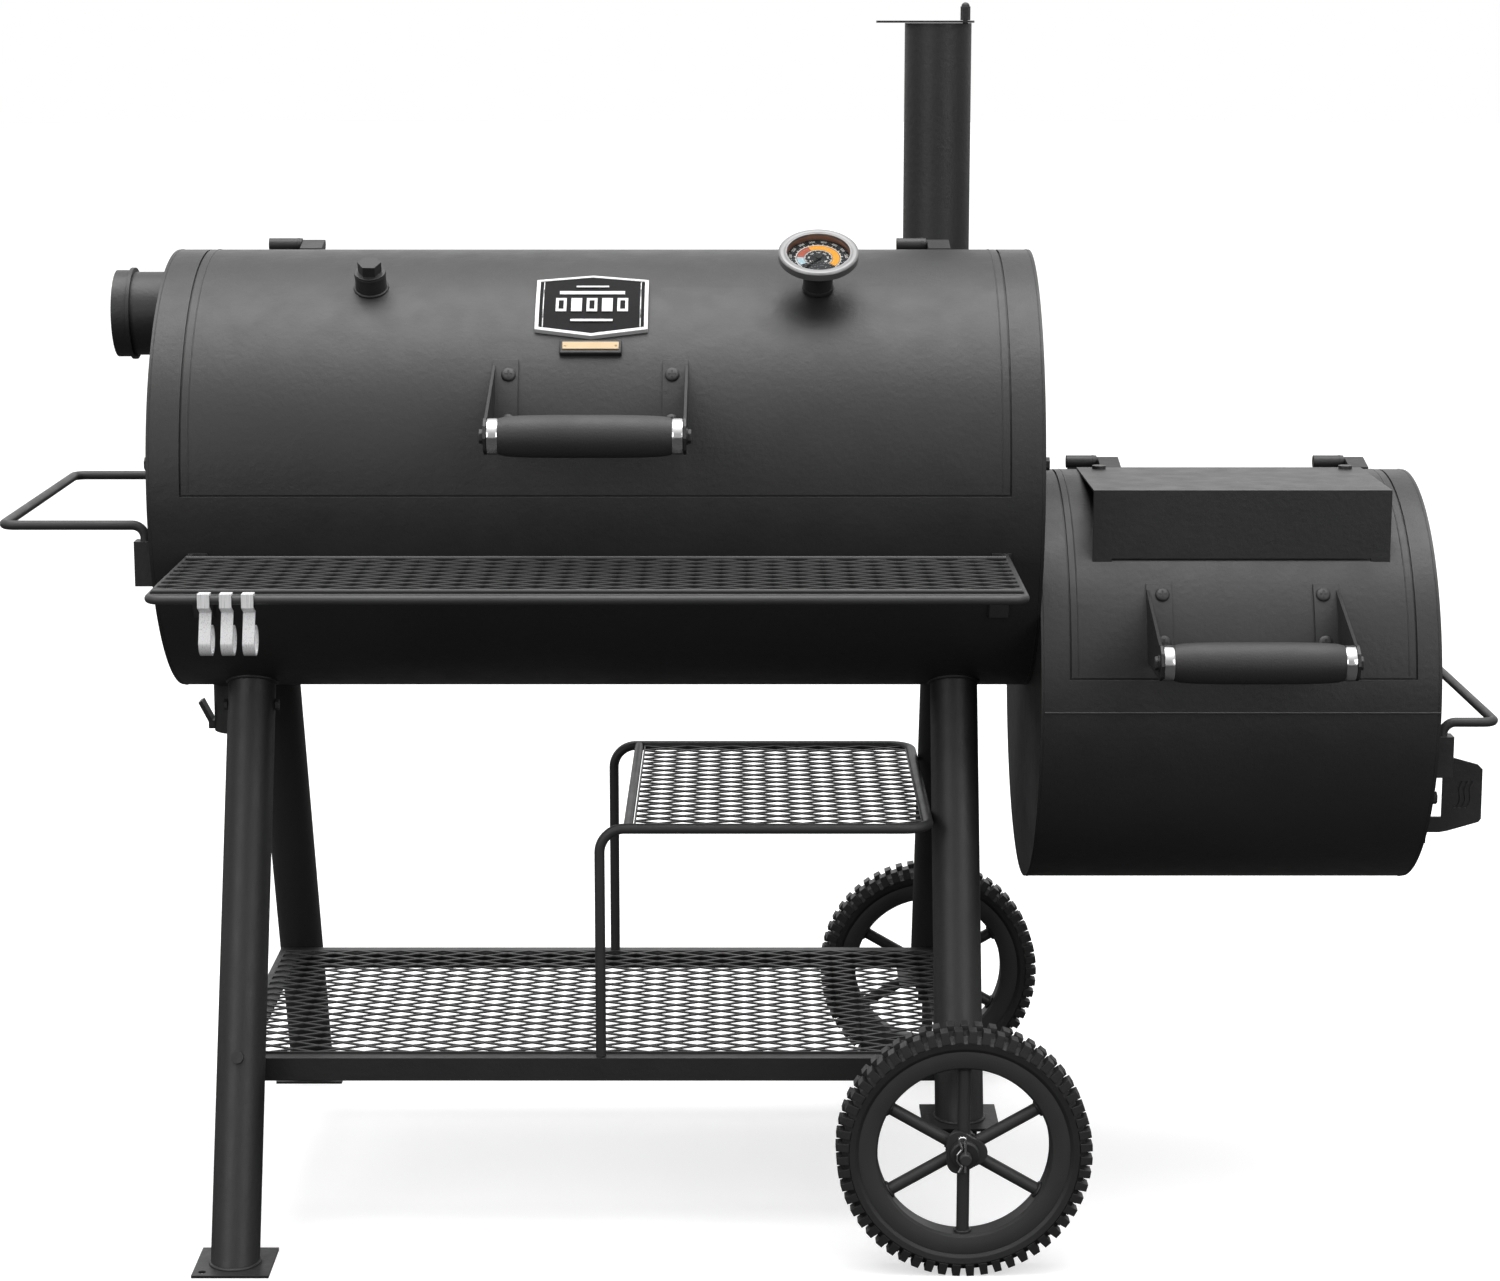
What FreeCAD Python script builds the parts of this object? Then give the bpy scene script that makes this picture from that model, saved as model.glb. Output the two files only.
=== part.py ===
import FreeCAD, Part
import math
import os

import Sketcher

# Barrel charcoal grill: a horizontal cooking barrel with an offset firebox, on four legs and two wheels.
# Millimetres. X runs along the barrel, the firebox is at +X; -Y is the front; +Z is up, ground at 0.
# Each piece is drawn in the working frame (Y 0 on the barrel's axis) and then moved by ORIGIN,
# which puts the middle of the footprint at 0, 0.

os.makedirs("parts", exist_ok=True)
doc = FreeCAD.newDocument("barrel_grill")
V = FreeCAD.Vector

DIMENSIONS = (
    ("origin_x", 13.0),
    ("origin_y", -59.78),
    ("sheet_wall", 2.5),
    ("end_plate", 3.0),
    ("move_gap", 0.3),
    ("barrel_radius", 237.5),
    ("barrel_left", -610.0),
    ("barrel_right", 312.0),
    ("barrel_height", 796.5),
    ("lid_left", -574.0),
    ("lid_right", 275.0),
    ("lid_bottom", 800.0),
    ("lid_rear", 60.0),
    ("lid_gap", 2.0),
    ("firebox_radius", 225.0),
    ("firebox_right", 729.0),
    ("firebox_height", 568.0),
    ("firebox_seam", 569.4),
    ("firelid_left", 343.5),
    ("firelid_right", 701.5),
    ("firelid_bottom", 605.5),
    ("firelid_rear", 58.0),
    ("main_hinge_y", 72.0),
    ("main_hinge_z", 1035.0),
    ("fire_hinge_y", 70.0),
    ("fire_hinge_z", 794.0),
    ("hinge_barrel_dia", 14.0),
    ("hinge_pin_dia", 7.0),
    ("knuckle_dia", 10.6),
    ("running_gap", 0.05),
    ("grip_dia", 42.8),
    ("grip_end_dia", 36.7),
    ("ferrule_length", 11.5),
    ("collar_dia", 91.0),
    ("collar_bore", 86.0),
    ("port_y", 40.0),
    ("port_z", 962.0),
    ("stack_dia", 77.5),
    ("stack_bore", 72.5),
    ("stack_x", 228.5),
    ("stack_y", 310.0),
    ("stack_z", 886.5),
    ("stack_top", 1275.2),
    ("gauge_x", 80.0),
    ("gauge_angle", 59.5),
    ("gauge_dia", 83.6),
    ("plug_x", -388.0),
    ("plug_angle", 60.0),
    ("leg_dia", 51.0),
    ("leg_wall", 2.0),
    ("leg_left_x", -529.0),
    ("leg_right_x", 229.5),
    ("leg_foot_y", 318.0),
    ("leg_lean", 0.4),
    ("foot_side", 80.0),
    ("axle_dia", 12.7),
    ("axle_z", 132.0),
    ("axle_reach", 370.0),
    ("wheel_radius", 132.0),
    ("wheel_width", 38.6),
    ("wheel_y", 332.0),
    ("shelf_front_y", -483.0),
    ("shelf_z", 734.0),
    ("shelf_rod", 9.0),
    ("tray_top", 191.0),
    ("rack_z", 440.0),
    ("rack_rod", 11.0),
    ("handle_rod", 10.0),
    ("mesh_long", 51.0),
    ("mesh_short", 23.0),
    ("mesh_strand", 3.6),
    ("mesh_thick", 1.6),
    ("rail_top", 838.0),
    ("coal_rail_top", 479.7),
    ("side_hinge_x", 738.0),
    ("side_hinge_y", 148.0),
)

sheet = doc.addObject("Spreadsheet::Sheet", "Dims")
for row, (alias, value) in enumerate(DIMENSIONS, start=1):
    sheet.set(f"A{row}", alias)
    sheet.set(f"B{row}", str(value))
    sheet.setAlias(f"B{row}", alias)
doc.recompute()


def dim(alias):
    return float(sheet.get(alias))


ORIGIN = FreeCAD.Placement(V(-dim("origin_x"), -dim("origin_y"), 0), FreeCAD.Rotation())
WALL = dim("sheet_wall")
PLATE = dim("end_plate")
GAP = dim("move_gap")
BARREL_R = dim("barrel_radius")
BARREL_Z = dim("barrel_height")
FIRE_R = dim("firebox_radius")
FIRE_Z = dim("firebox_height")
BARREL_L = dim("barrel_left")
BARREL_END = dim("barrel_right")
FIRE_L = BARREL_END + PLATE
FIRE_END = dim("firebox_right")
FAR = 900.0


# Fixed measures of the smaller pieces
LENS_MARGIN = 9.0
DRAUGHT = (130.0, 420.0, 520.0)
STOP_WIDTH = 18.0
STOP_THICK = 2.5
HANDLE_SHEET = 3.0
FLANGE_TOP = 35.2
FLANGE_LOW = 14.0
FLANGE_WIDTH = 26.5
SCREW_INSET = 15.1
SCREW_DIA = 15.0
PORT_TIP = -681.0
CAP_MOUTH = -664.0
CAP_DEPTH = 20.0
CAP_LIP = 4.0
CAP_DIA = 100.0
PLATE_CAP = 2.5
BOOT_FRONT = 242.0
BOOT_BACK = 262.0
PIVOT_OFFSET = 31.5
PIVOT_DIA = 6.0
NUT_TALL = 15.8
DAMPER_R = 42.0
DAMPER_TAB = 72.0
PROBE_R = 3.0
STEM_R = 15.3
NEEDLE_REST = 232.0
BADGE_X = -155.5
BADGE_ANGLE = 52.8
BADGE_WIDTH = 117.0
BADGE_HEIGHT = 94.0
BADGE_THICK = 5.0
BADGE_PEAK = 9.0
BAR_ANGLE = 38.6
BAR_WIDTH = 64.0
BAR_HEIGHT = 17.0
BAR_THICK = 7.0
SHELF_LEFT = -567.4
SHELF_RIGHT = 271.6
SHELF_BACK = -272.0
SHELF_CROSS_R = 2.5
HOOK_X = (-513.0, -492.0, -471.0)
HOOK_WIDE = 11.5
HOOK_THICK = 2.0
HOOK_CURL = 14.8
HOOK_SWEEP = 262.0
HOOK_BACK = 12.0
BAFFLE_Z = 768.0
BAFFLE_LEFT = -450.0
AXLE_PLATE_Z = 139.5
LEG_BOLT_Z = 552.0
TRAY_SCREW_Z = 198.0
FOOT_HOLE_R = 4.0
HUB_IN = 308.0
HUB_OUT = 356.0
CLIP_Y = 361.0
CLIP_R = 1.5
CLIP_BEND = (
    (0, 14), (0, 21.5), (-6.5, 21.5), (-6.5, 17), (-3.3, 9.5),
    (-8.2, 3), (-8.2, -3), (-3.2, -9.5), (-6.5, -15.5),
)
RIM_INNER = 89.0
TYRE_LINE = 108.0
TREAD_DEPTH = 5.0
TREAD_GAP = 5.2
TREAD_COUNT = 60
TRAY_X = (-549.0, 249.0)
TRAY_Y = 213.6
RACK = (-150.0, 198.4, 203.0)
RACK_BEND = 26.0
DRAIN_X = -555.0
DRAIN_OUTER = 60.0
DRAIN_BORE = 55.0
SHIELD_X = (368.6, 681.0)
SHIELD_FRONT = -164.5
SHIELD_REAR = 15.0
SHIELD_LOW = 722.5
TAB_MARK_X = 764.0
TAB_MARK_STEP = 5.6
TAB_MARK_HALF = 1.3
TAB_MARK_DEPTH = 1.0


# ---------------------------------------------------------------- PartDesign helpers

def add_body(name, place=None):
    """A new body; place moves its own frame inside the working frame."""
    body = doc.addObject("PartDesign::Body", name)
    body.Label = name
    body.Placement = ORIGIN if place is None else ORIGIN.multiply(place)
    return body


def add_sketch(body, role, height=0.0, turn=None):
    """An empty sketch on one of the body's origin planes, lifted by a number or an expression."""
    plane = next(f for f in body.Origin.OriginFeatures if f.Role == role)
    sketch = body.newObject("Sketcher::SketchObject", body.Name + "_sketch")
    sketch.AttachmentSupport = [(plane, "")]
    sketch.MapMode = "FlatFace"
    if turn is not None:
        sketch.AttachmentOffset = turn
    elif isinstance(height, str):
        sketch.setExpression("AttachmentOffset.Base.z", height)
    else:
        sketch.AttachmentOffset = FreeCAD.Placement(V(0, 0, height), FreeCAD.Rotation())
    return sketch


def draw_circle(sketch, cx, cy, radius):
    """A circle whose radius is a number or an expression on the sheet."""
    index = sketch.addGeometry(Part.Circle(V(cx, cy, 0), V(0, 0, 1), 10), False)
    start = 10.0 if isinstance(radius, str) else radius
    tie = sketch.addConstraint(Sketcher.Constraint("Radius", index, start))
    if isinstance(radius, str):
        sketch.setExpression(f"Constraints[{tie}]", radius)


def draw_polygon(sketch, points):
    """A closed outline through the points, its corners tied together."""
    first = sketch.GeometryCount
    count = len(points)
    for k, (px, py) in enumerate(points):
        qx, qy = points[(k + 1) % count]
        sketch.addGeometry(Part.LineSegment(V(px, py, 0), V(qx, qy, 0)), False)
    for k in range(count):
        after = first + (k + 1) % count
        sketch.addConstraint(Sketcher.Constraint("Coincident", first + k, 2, after, 1))


def pad(body, sketch, length):
    """Raise the sketch along its normal by a number or an expression."""
    feature = body.newObject("PartDesign::Pad", body.Name + "_pad")
    feature.Profile = sketch
    if isinstance(length, str):
        feature.setExpression("Length", length)
    else:
        feature.Length = length
    sketch.Visibility = False
    return feature


def pocket(body, sketch, length=None, up=False):
    """Cut the sketch through everything both ways, or to a length on one side."""
    feature = body.newObject("PartDesign::Pocket", body.Name + "_pocket")
    feature.Profile = sketch
    if length is None:
        feature.SideType = "Symmetric"
        feature.Length = 2 * FAR
    else:
        feature.Length = length
        feature.Reversed = up
    sketch.Visibility = False
    return feature


def turned_body(name, profile, place=None):
    """A body of revolution: the profile (radius, height) turned about its own Z."""
    body = add_body(name, place)
    sketch = add_sketch(body, "XZ_Plane")
    draw_polygon(sketch, profile)
    turn = body.newObject("PartDesign::Revolution", name + "_turn")
    turn.Profile = sketch
    turn.ReferenceAxis = (sketch, ["V_Axis"])
    turn.Angle = 360
    sketch.Visibility = False
    return body


def radial_place(x, angle, centre_z):
    """A frame on the barrel's axis whose Z points out at this angle above the front."""
    return FreeCAD.Placement(V(x, 0, centre_z), FreeCAD.Rotation(V(1, 0, 0), 90 - angle))


# ---------------------------------------------------------------- shape helpers

def add_piece(name, shapes):
    """A piece made by shape functions: one solid, or a group of separate like solids."""
    piece = doc.addObject("Part::Feature", name)
    piece.Label = name
    shape = shapes[0] if len(shapes) == 1 else Part.makeCompound(shapes)
    piece.Shape = shape
    piece.Placement = ORIGIN.multiply(shape.Placement)
    return piece


def rod(radius, start, end):
    start = V(*start)
    end = V(*end)
    return Part.makeCylinder(radius, (end - start).Length, start, end - start)


def tube(outer, inner, start, end):
    return rod(outer, start, end).cut(rod(inner, start, end))


def block(x0, x1, y0, y1, z0, z1):
    return Part.makeBox(x1 - x0, y1 - y0, z1 - z0, V(x0, y0, z0))


def profile_x(points, x0, x1):
    """A (Y, Z) outline raised along X from x0 to x1."""
    corners = [V(x0, y, z) for y, z in points]
    return Part.Face(Part.makePolygon(corners + corners[:1])).extrude(V(x1 - x0, 0, 0))


def profile_y(points, y0, y1):
    """An (X, Z) outline raised along Y from y0 to y1."""
    corners = [V(x, y0, z) for x, z in points]
    return Part.Face(Part.makePolygon(corners + corners[:1])).extrude(V(0, y1 - y0, 0))


def drum(radius, centre_z, x0=-FAR, x1=FAR):
    return rod(radius, (x0, 0, centre_z), (x1, 0, centre_z))


def bent_rod(points, radius, bend):
    """A round rod along the points, each corner bent to the radius given."""
    points = [V(*p) for p in points]
    edges = []
    here = points[0]
    for before, corner, after in zip(points, points[1:], points[2:]):
        back = (before - corner).normalize()
        ahead = (after - corner).normalize()
        half = back.getAngle(ahead) / 2
        reach = bend / math.tan(half)
        start = corner + back * reach
        end = corner + ahead * reach
        centre = corner + (back + ahead).normalize() * (bend / math.sin(half))
        middle = centre + (corner - centre).normalize() * bend
        edges.append(Part.LineSegment(here, start).toShape())
        edges.append(Part.Arc(start, middle, end).toShape())
        here = end
    edges.append(Part.LineSegment(here, points[-1]).toShape())
    ring = Part.Wire(Part.makeCircle(radius, points[0], points[1] - points[0]))
    return Part.Wire(edges).makePipeShell([ring], True, True)


def hex_prism(across, start, end):
    """A hexagonal bar between two points, its size given across the flats."""
    start = V(*start)
    end = V(*end)
    axis = end - start
    turn = FreeCAD.Rotation(V(0, 0, 1), axis)
    corner = across / math.sqrt(3)
    ring = []
    for k in range(6):
        angle = math.radians(60 * k)
        ring.append(start + turn.multVec(V(corner * math.cos(angle), corner * math.sin(angle), 0)))
    return Part.Face(Part.makePolygon(ring + ring[:1])).extrude(axis)


def clip_to_box(points, x0, x1, y0, y1):
    """The part of a convex outline that lies in the box."""
    for axis, limit, sign in ((0, x0, 1), (0, x1, -1), (1, y0, 1), (1, y1, -1)):
        kept = []
        for k, point in enumerate(points):
            before = points[k - 1]
            inside = sign * (point[axis] - limit) >= 0
            was_inside = sign * (before[axis] - limit) >= 0
            if inside != was_inside:
                share = (limit - before[axis]) / (point[axis] - before[axis])
                kept.append(tuple(before[i] + share * (point[i] - before[i]) for i in (0, 1)))
            if inside:
                kept.append(point)
        points = kept
        if len(points) < 3:
            return []
    return points


def outline_area(points):
    total = 0.0
    for k, (px, py) in enumerate(points):
        total += points[k - 1][0] * py - px * points[k - 1][1]
    return abs(total) / 2


def expanded_metal(x0, x1, y0, y1, z):
    """A flattened expanded-metal sheet: rows of diamond holes inside a cut edge."""
    half_x = dim("mesh_long") / 2
    half_y = dim("mesh_short") / 2
    strand = dim("mesh_strand")
    edge = strand / 2
    reach = half_x * half_y / math.hypot(half_x, half_y)
    share = (reach - strand / 2) / reach
    smallest = 12.0
    wires = [Part.makePolygon([V(x0, y0, z), V(x1, y0, z), V(x1, y1, z), V(x0, y1, z), V(x0, y0, z)])]
    rows = int((y1 - y0) / half_y) + 2
    columns = int((x1 - x0) / half_x) + 2
    middle_x = (x0 + x1) / 2
    middle_y = (y0 + y1) / 2
    for row in range(-rows, rows + 1):
        for column in range(-columns, columns + 1):
            if (row + column) % 2:
                continue
            cx = middle_x + column * half_x
            cy = middle_y + row * half_y
            diamond = [
                (cx - half_x * share, cy),
                (cx, cy - half_y * share),
                (cx + half_x * share, cy),
                (cx, cy + half_y * share),
            ]
            hole = clip_to_box(diamond, x0 + edge, x1 - edge, y0 + edge, y1 - edge)
            if hole and outline_area(hole) > smallest:
                corners = [V(px, py, z) for px, py in hole]
                wires.append(Part.makePolygon(corners + corners[:1]))
    face = Part.makeFace(wires, "Part::FaceMakerBullseye")
    return face.extrude(V(0, 0, dim("mesh_thick")))


def on_drum(radius, centre_z, angle):
    """(Y, Z) on a drum's surface at an angle above the front."""
    turn = math.radians(angle)
    return -radius * math.cos(turn), centre_z + radius * math.sin(turn)


# ---------------------------------------------------------------- cooking barrel

def barrel_shell():
    body = add_body("barrel_shell")
    ring = add_sketch(body, "YZ_Plane", "Dims.barrel_left + Dims.end_plate")
    draw_circle(ring, 0, BARREL_Z, "Dims.barrel_radius")
    draw_circle(ring, 0, BARREL_Z, "Dims.barrel_radius - Dims.sheet_wall")
    pad(body, ring, "Dims.barrel_right - Dims.barrel_left - 2 * Dims.end_plate")
    gap = dim("lid_gap")
    left = dim("lid_left") - gap
    right = dim("lid_right") + gap
    rear = dim("lid_rear") + gap
    mouth = add_sketch(body, "XY_Plane", "Dims.lid_bottom - Dims.lid_gap")
    draw_polygon(mouth, [(left, -FAR), (right, -FAR), (right, rear), (left, rear)])
    pocket(body, mouth, FAR, up=True)
    stack_hole = add_sketch(body, "XZ_Plane", -BARREL_R / 2)
    draw_circle(stack_hole, dim("stack_x"), dim("stack_z"), "Dims.collar_bore / 2")
    pocket(body, stack_hole, BARREL_R)
    drain_hole = add_sketch(body, "XY_Plane", BARREL_Z - BARREL_R / 2)
    draw_circle(drain_hole, DRAIN_X, 0, DRAIN_BORE / 2)
    pocket(body, drain_hole, BARREL_R)


def disc_body(name, x0, radius, centre_z):
    """A flat end disc, still to be cut."""
    body = add_body(name)
    sketch = add_sketch(body, "YZ_Plane", x0)
    draw_circle(sketch, 0, centre_z, radius)
    pad(body, sketch, "Dims.end_plate")
    return body


def draw_lens(sketch):
    """The opening shared by barrel and firebox: the overlap of two slightly smaller circles."""
    barrel_r = BARREL_R - LENS_MARGIN
    fire_r = FIRE_R - LENS_MARGIN
    apart = BARREL_Z - FIRE_Z
    up = (apart ** 2 + fire_r ** 2 - barrel_r ** 2) / (2 * apart)
    half = math.sqrt(fire_r ** 2 - up ** 2)
    corner = FIRE_Z + up
    top = Part.Arc(V(-half, corner, 0), V(0, FIRE_Z + fire_r, 0), V(half, corner, 0))
    bottom = Part.Arc(V(half, corner, 0), V(0, BARREL_Z - barrel_r, 0), V(-half, corner, 0))
    sketch.addGeometry(top, False)
    sketch.addGeometry(bottom, False)


def end_plates():
    left = disc_body("barrel_end_left", "Dims.barrel_left", "Dims.barrel_radius", BARREL_Z)
    port = add_sketch(left, "YZ_Plane", "Dims.barrel_left")
    draw_circle(port, dim("port_y"), dim("port_z"), "Dims.collar_bore / 2")
    pocket(left, port)
    inside = "Dims.barrel_right - Dims.end_plate"
    right = disc_body("barrel_end_right", inside, "Dims.barrel_radius", BARREL_Z)
    lens = add_sketch(right, "YZ_Plane", "Dims.barrel_right")
    draw_lens(lens)
    pocket(right, lens)
    near = disc_body("firebox_end_left", "Dims.barrel_right", "Dims.firebox_radius", FIRE_Z)
    lens = add_sketch(near, "YZ_Plane", "Dims.barrel_right")
    draw_lens(lens)
    pocket(near, lens)
    inside = "Dims.firebox_right - Dims.end_plate"
    far = disc_body("firebox_end_right", inside, "Dims.firebox_radius", FIRE_Z)
    draught = add_sketch(far, "YZ_Plane", "Dims.firebox_right")
    half, low, high = DRAUGHT
    draw_polygon(draught, [(-half, low), (half, low), (half, high), (-half, high)])
    pocket(far, draught)


def lid_shell(name, left, right, radius, centre_z, bottom, rear):
    """A lid rolled to the drum's own curve, closing flush in its mouth."""
    body = add_body(name)
    ring = add_sketch(body, "YZ_Plane", f"Dims.{left}")
    draw_circle(ring, 0, centre_z, f"Dims.{radius}")
    draw_circle(ring, 0, centre_z, f"Dims.{radius} - Dims.sheet_wall + Dims.move_gap")
    pad(body, ring, f"Dims.{right} - Dims.{left}")
    waste = add_sketch(body, "YZ_Plane", f"Dims.{left}")
    draw_polygon(waste, [
        (-FAR, bottom), (rear, bottom), (rear, 2 * FAR), (FAR, 2 * FAR), (FAR, -FAR), (-FAR, -FAR),
    ])
    pocket(body, waste)
    return body


def stop_band(radius, centre_z, low, high, x0, x1):
    """A strip rolled against the inside of a drum between two angles."""
    inner = radius - WALL - STOP_THICK
    ring = tube(radius - WALL, inner, (x0, 0, centre_z), (x1, 0, centre_z))
    reach = 2 * radius
    ray_low = on_drum(reach, centre_z, low)
    ray_mid = on_drum(reach, centre_z, (low + high) / 2)
    ray_high = on_drum(reach, centre_z, high)
    sector = profile_x([(0, centre_z), ray_low, ray_mid, ray_high], x0, x1)
    return ring.common(sector)


def lid_stop_strips():
    """Strips behind the edges of both mouths, which the closed lids lie on."""
    strips = []
    for radius, centre_z, lid in ((BARREL_R, BARREL_Z, "lid"), (FIRE_R, FIRE_Z, "firelid")):
        left, right = dim(lid + "_left"), dim(lid + "_right")
        bottom, rear = dim(lid + "_bottom"), dim(lid + "_rear")
        inner = radius - WALL
        half = STOP_WIDTH / 2
        low = math.degrees(math.asin((bottom - centre_z - half) / inner))
        low_top = math.degrees(math.asin((bottom - centre_z + half) / inner))
        high = 180 - math.degrees(math.acos((rear + half) / inner))
        high_low = 180 - math.degrees(math.acos((rear - half) / inner))
        strips.append(stop_band(radius, centre_z, low, low_top, left - half, right + half))
        strips.append(stop_band(radius, centre_z, high_low, high, left - half, right + half))
        for x0 in (left - half, right - half):
            strips.append(stop_band(radius, centre_z, low_top, high_low, x0, x0 + STOP_WIDTH))
    add_piece("lid_stop_strips", strips)


def hinge_set(root_name, lid_name, hinge_y, hinge_z, radius, centre_z, rear, barrels, knuckles):
    """Bullet hinges: a barrel with a fixed pin on the drum and a knuckle on the lid."""
    barrel_r = dim("hinge_barrel_dia") / 2
    pin_r = dim("hinge_pin_dia") / 2
    knuckle_r = dim("knuckle_dia") / 2
    skin = drum(radius, centre_z)
    fixed = []
    moving = []
    for (barrel_x0, barrel_x1), (knuckle_x0, knuckle_x1) in zip(barrels, knuckles):
        barrel = rod(barrel_r, (barrel_x0, hinge_y, hinge_z), (barrel_x1, hinge_y, hinge_z))
        foot = block(barrel_x0 + 2, barrel_x1 - 2, hinge_y - 4, hinge_y + 6, hinge_z - 16, hinge_z)
        pin = rod(pin_r, (barrel_x1 - 2, hinge_y, hinge_z), (knuckle_x1 - 1.5, hinge_y, hinge_z))
        fixed.append(barrel.fuse([foot, pin]).cut(skin).removeSplitter())
        knuckle = rod(knuckle_r, (knuckle_x0, hinge_y, hinge_z), (knuckle_x1, hinge_y, hinge_z))
        edge_z = centre_z + math.sqrt(radius ** 2 - rear ** 2)
        strap = profile_x([
            (rear - 22, edge_z - 4), (rear - 22, edge_z + 7), (hinge_y - 6, hinge_z + 4.2),
            (hinge_y, hinge_z + 5.2), (hinge_y, hinge_z), (hinge_y - 4, hinge_z - 3),
            (rear - 1, edge_z + 1.5), (rear - 1, edge_z - 4),
        ], knuckle_x0 + 1, knuckle_x1)
        bore_r = pin_r + dim("running_gap")
        bore = rod(bore_r, (knuckle_x0 - 5, hinge_y, hinge_z), (knuckle_x1 + 5, hinge_y, hinge_z))
        moving.append(knuckle.fuse(strap).cut(skin).cut(bore).removeSplitter())
    add_piece(root_name, fixed)
    add_piece(lid_name, moving)


def lid_handle(prefix, left, right, radius, centre_z, grip_y, grip_z, screw_angles):
    """A barrel grip between two sheet brackets screwed to the lid."""
    skin = drum(radius, centre_z)
    top = on_drum(radius, centre_z, FLANGE_TOP)
    low = on_drum(radius, centre_z, FLANGE_LOW)
    cheek = [
        (top[0] + 6, top[1]), (grip_y + 8, grip_z + 18), (grip_y - 4, grip_z + 18.5),
        (grip_y - 14, grip_z + 12), (grip_y - 18.5, grip_z), (grip_y - 14, grip_z - 12),
        (grip_y - 2, grip_z - 18), (low[0] + 6, low[1]),
    ]
    brackets = []
    hardware = []
    for side, inward in ((left, 1), (right, -1)):
        outer_x = side - inward * HANDLE_SHEET / 2
        inner_x = outer_x + inward * HANDLE_SHEET
        plate = profile_x(cheek, min(outer_x, inner_x), max(outer_x, inner_x)).cut(skin)
        flange_x = outer_x + inward * FLANGE_WIDTH
        x0, x1 = min(outer_x, flange_x), max(outer_x, flange_x)
        band = tube(radius + HANDLE_SHEET, radius, (x0, 0, centre_z), (x1, 0, centre_z))
        far_low = on_drum(2 * radius, centre_z, FLANGE_LOW)
        far_top = on_drum(2 * radius, centre_z, FLANGE_TOP)
        band = band.common(profile_x([(0, centre_z), far_low, far_top], x0, x1))
        brackets.append(plate.fuse(band).removeSplitter())
        screw_x = side + inward * SCREW_INSET
        for angle in screw_angles:
            base = on_drum(radius + HANDLE_SHEET - 0.2, centre_z, angle)
            tip = on_drum(radius + HANDLE_SHEET + 4.0, centre_z, angle)
            head = rod(SCREW_DIA / 2, (screw_x, *base), (screw_x, *tip))
            rim = head.Edges
            head = head.makeFillet(2.0, [e for e in rim if e.Closed and is_at(e, (screw_x, *tip), 8)])
            hardware.append(head.cut(drum(radius + HANDLE_SHEET, centre_z)))
        head_end = outer_x - inward * 5.0
        hardware.append(hex_prism(13.0, (outer_x, grip_y, grip_z), (head_end, grip_y, grip_z)))
        ferrule_end = inner_x + inward * dim("ferrule_length")
        cup_r = dim("grip_end_dia") / 2
        hardware.append(rod(cup_r, (inner_x, grip_y, grip_z), (ferrule_end, grip_y, grip_z)))
    add_piece(prefix + "_handle_brackets", brackets)
    add_piece(prefix + "_handle_hardware", hardware)
    start = left + HANDLE_SHEET / 2 + dim("ferrule_length")
    length = right - left - HANDLE_SHEET - 2 * dim("ferrule_length")
    grip_r = dim("grip_dia") / 2
    end_r = dim("grip_end_dia") / 2 + 0.4
    steps = 12
    profile = [(0, 0)]
    for k in range(steps + 1):
        share = 2.0 * k / steps - 1.0
        bulge = end_r + (grip_r - end_r) * math.sqrt(max(0.0, 1.0 - share ** 4))
        profile.append((bulge, length * k / steps))
    profile.append((0, length))
    lying = FreeCAD.Placement(V(start, grip_y, grip_z), FreeCAD.Rotation(V(0, 1, 0), 90))
    turned_body(prefix + "_handle_grip", profile, lying)


def is_at(edge, point, reach):
    return (edge.CenterOfMass - V(*point)).Length < reach and edge.CenterOfMass.isEqual(V(*point), 0.5)


# ---------------------------------------------------------------- fittings on the barrel and its lid

def pipe_collars():
    """Short collars: one on the left end plate for the spare port, one at the back for the stack."""
    outer = dim("collar_dia") / 2
    inner = dim("collar_bore") / 2
    port_y, port_z = dim("port_y"), dim("port_z")
    stack_x, stack_z = dim("stack_x"), dim("stack_z")
    port = tube(outer, inner, (BARREL_L, port_y, port_z), (PORT_TIP, port_y, port_z))
    back = tube(outer, inner, (stack_x, 150, stack_z), (stack_x, BOOT_BACK, stack_z))
    add_piece("pipe_collars", [port, back.cut(drum(BARREL_R, BARREL_Z))])


def port_cap():
    """A pressed cap pulled off along -X."""
    inner = dim("collar_dia") / 2 + GAP
    back = CAP_DEPTH - PLATE_CAP
    profile = [
        (0, CAP_DEPTH), (inner + 1.5, CAP_DEPTH), (inner + 1.5, CAP_LIP), (CAP_DIA / 2, CAP_LIP),
        (CAP_DIA / 2, 0), (inner, 0), (inner, back), (0, back),
    ]
    place = FreeCAD.Placement(V(CAP_MOUTH, dim("port_y"), dim("port_z")), FreeCAD.Rotation(V(0, 1, 0), -90))
    turned_body("port_cap", profile, place)


def mitre_side(keep_pipe):
    """A large block on one side of the 45 degree joint between the stack and its stub."""
    size = 8 * dim("stack_dia")
    third = size if keep_pipe else -size
    corner = [(-size, size), (size, -size), (third, third)]
    shifted = [(dim("stack_y") + y, dim("stack_z") + z) for y, z in corner]
    return profile_x(shifted, dim("stack_x") - size, dim("stack_x") + size)


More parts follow.
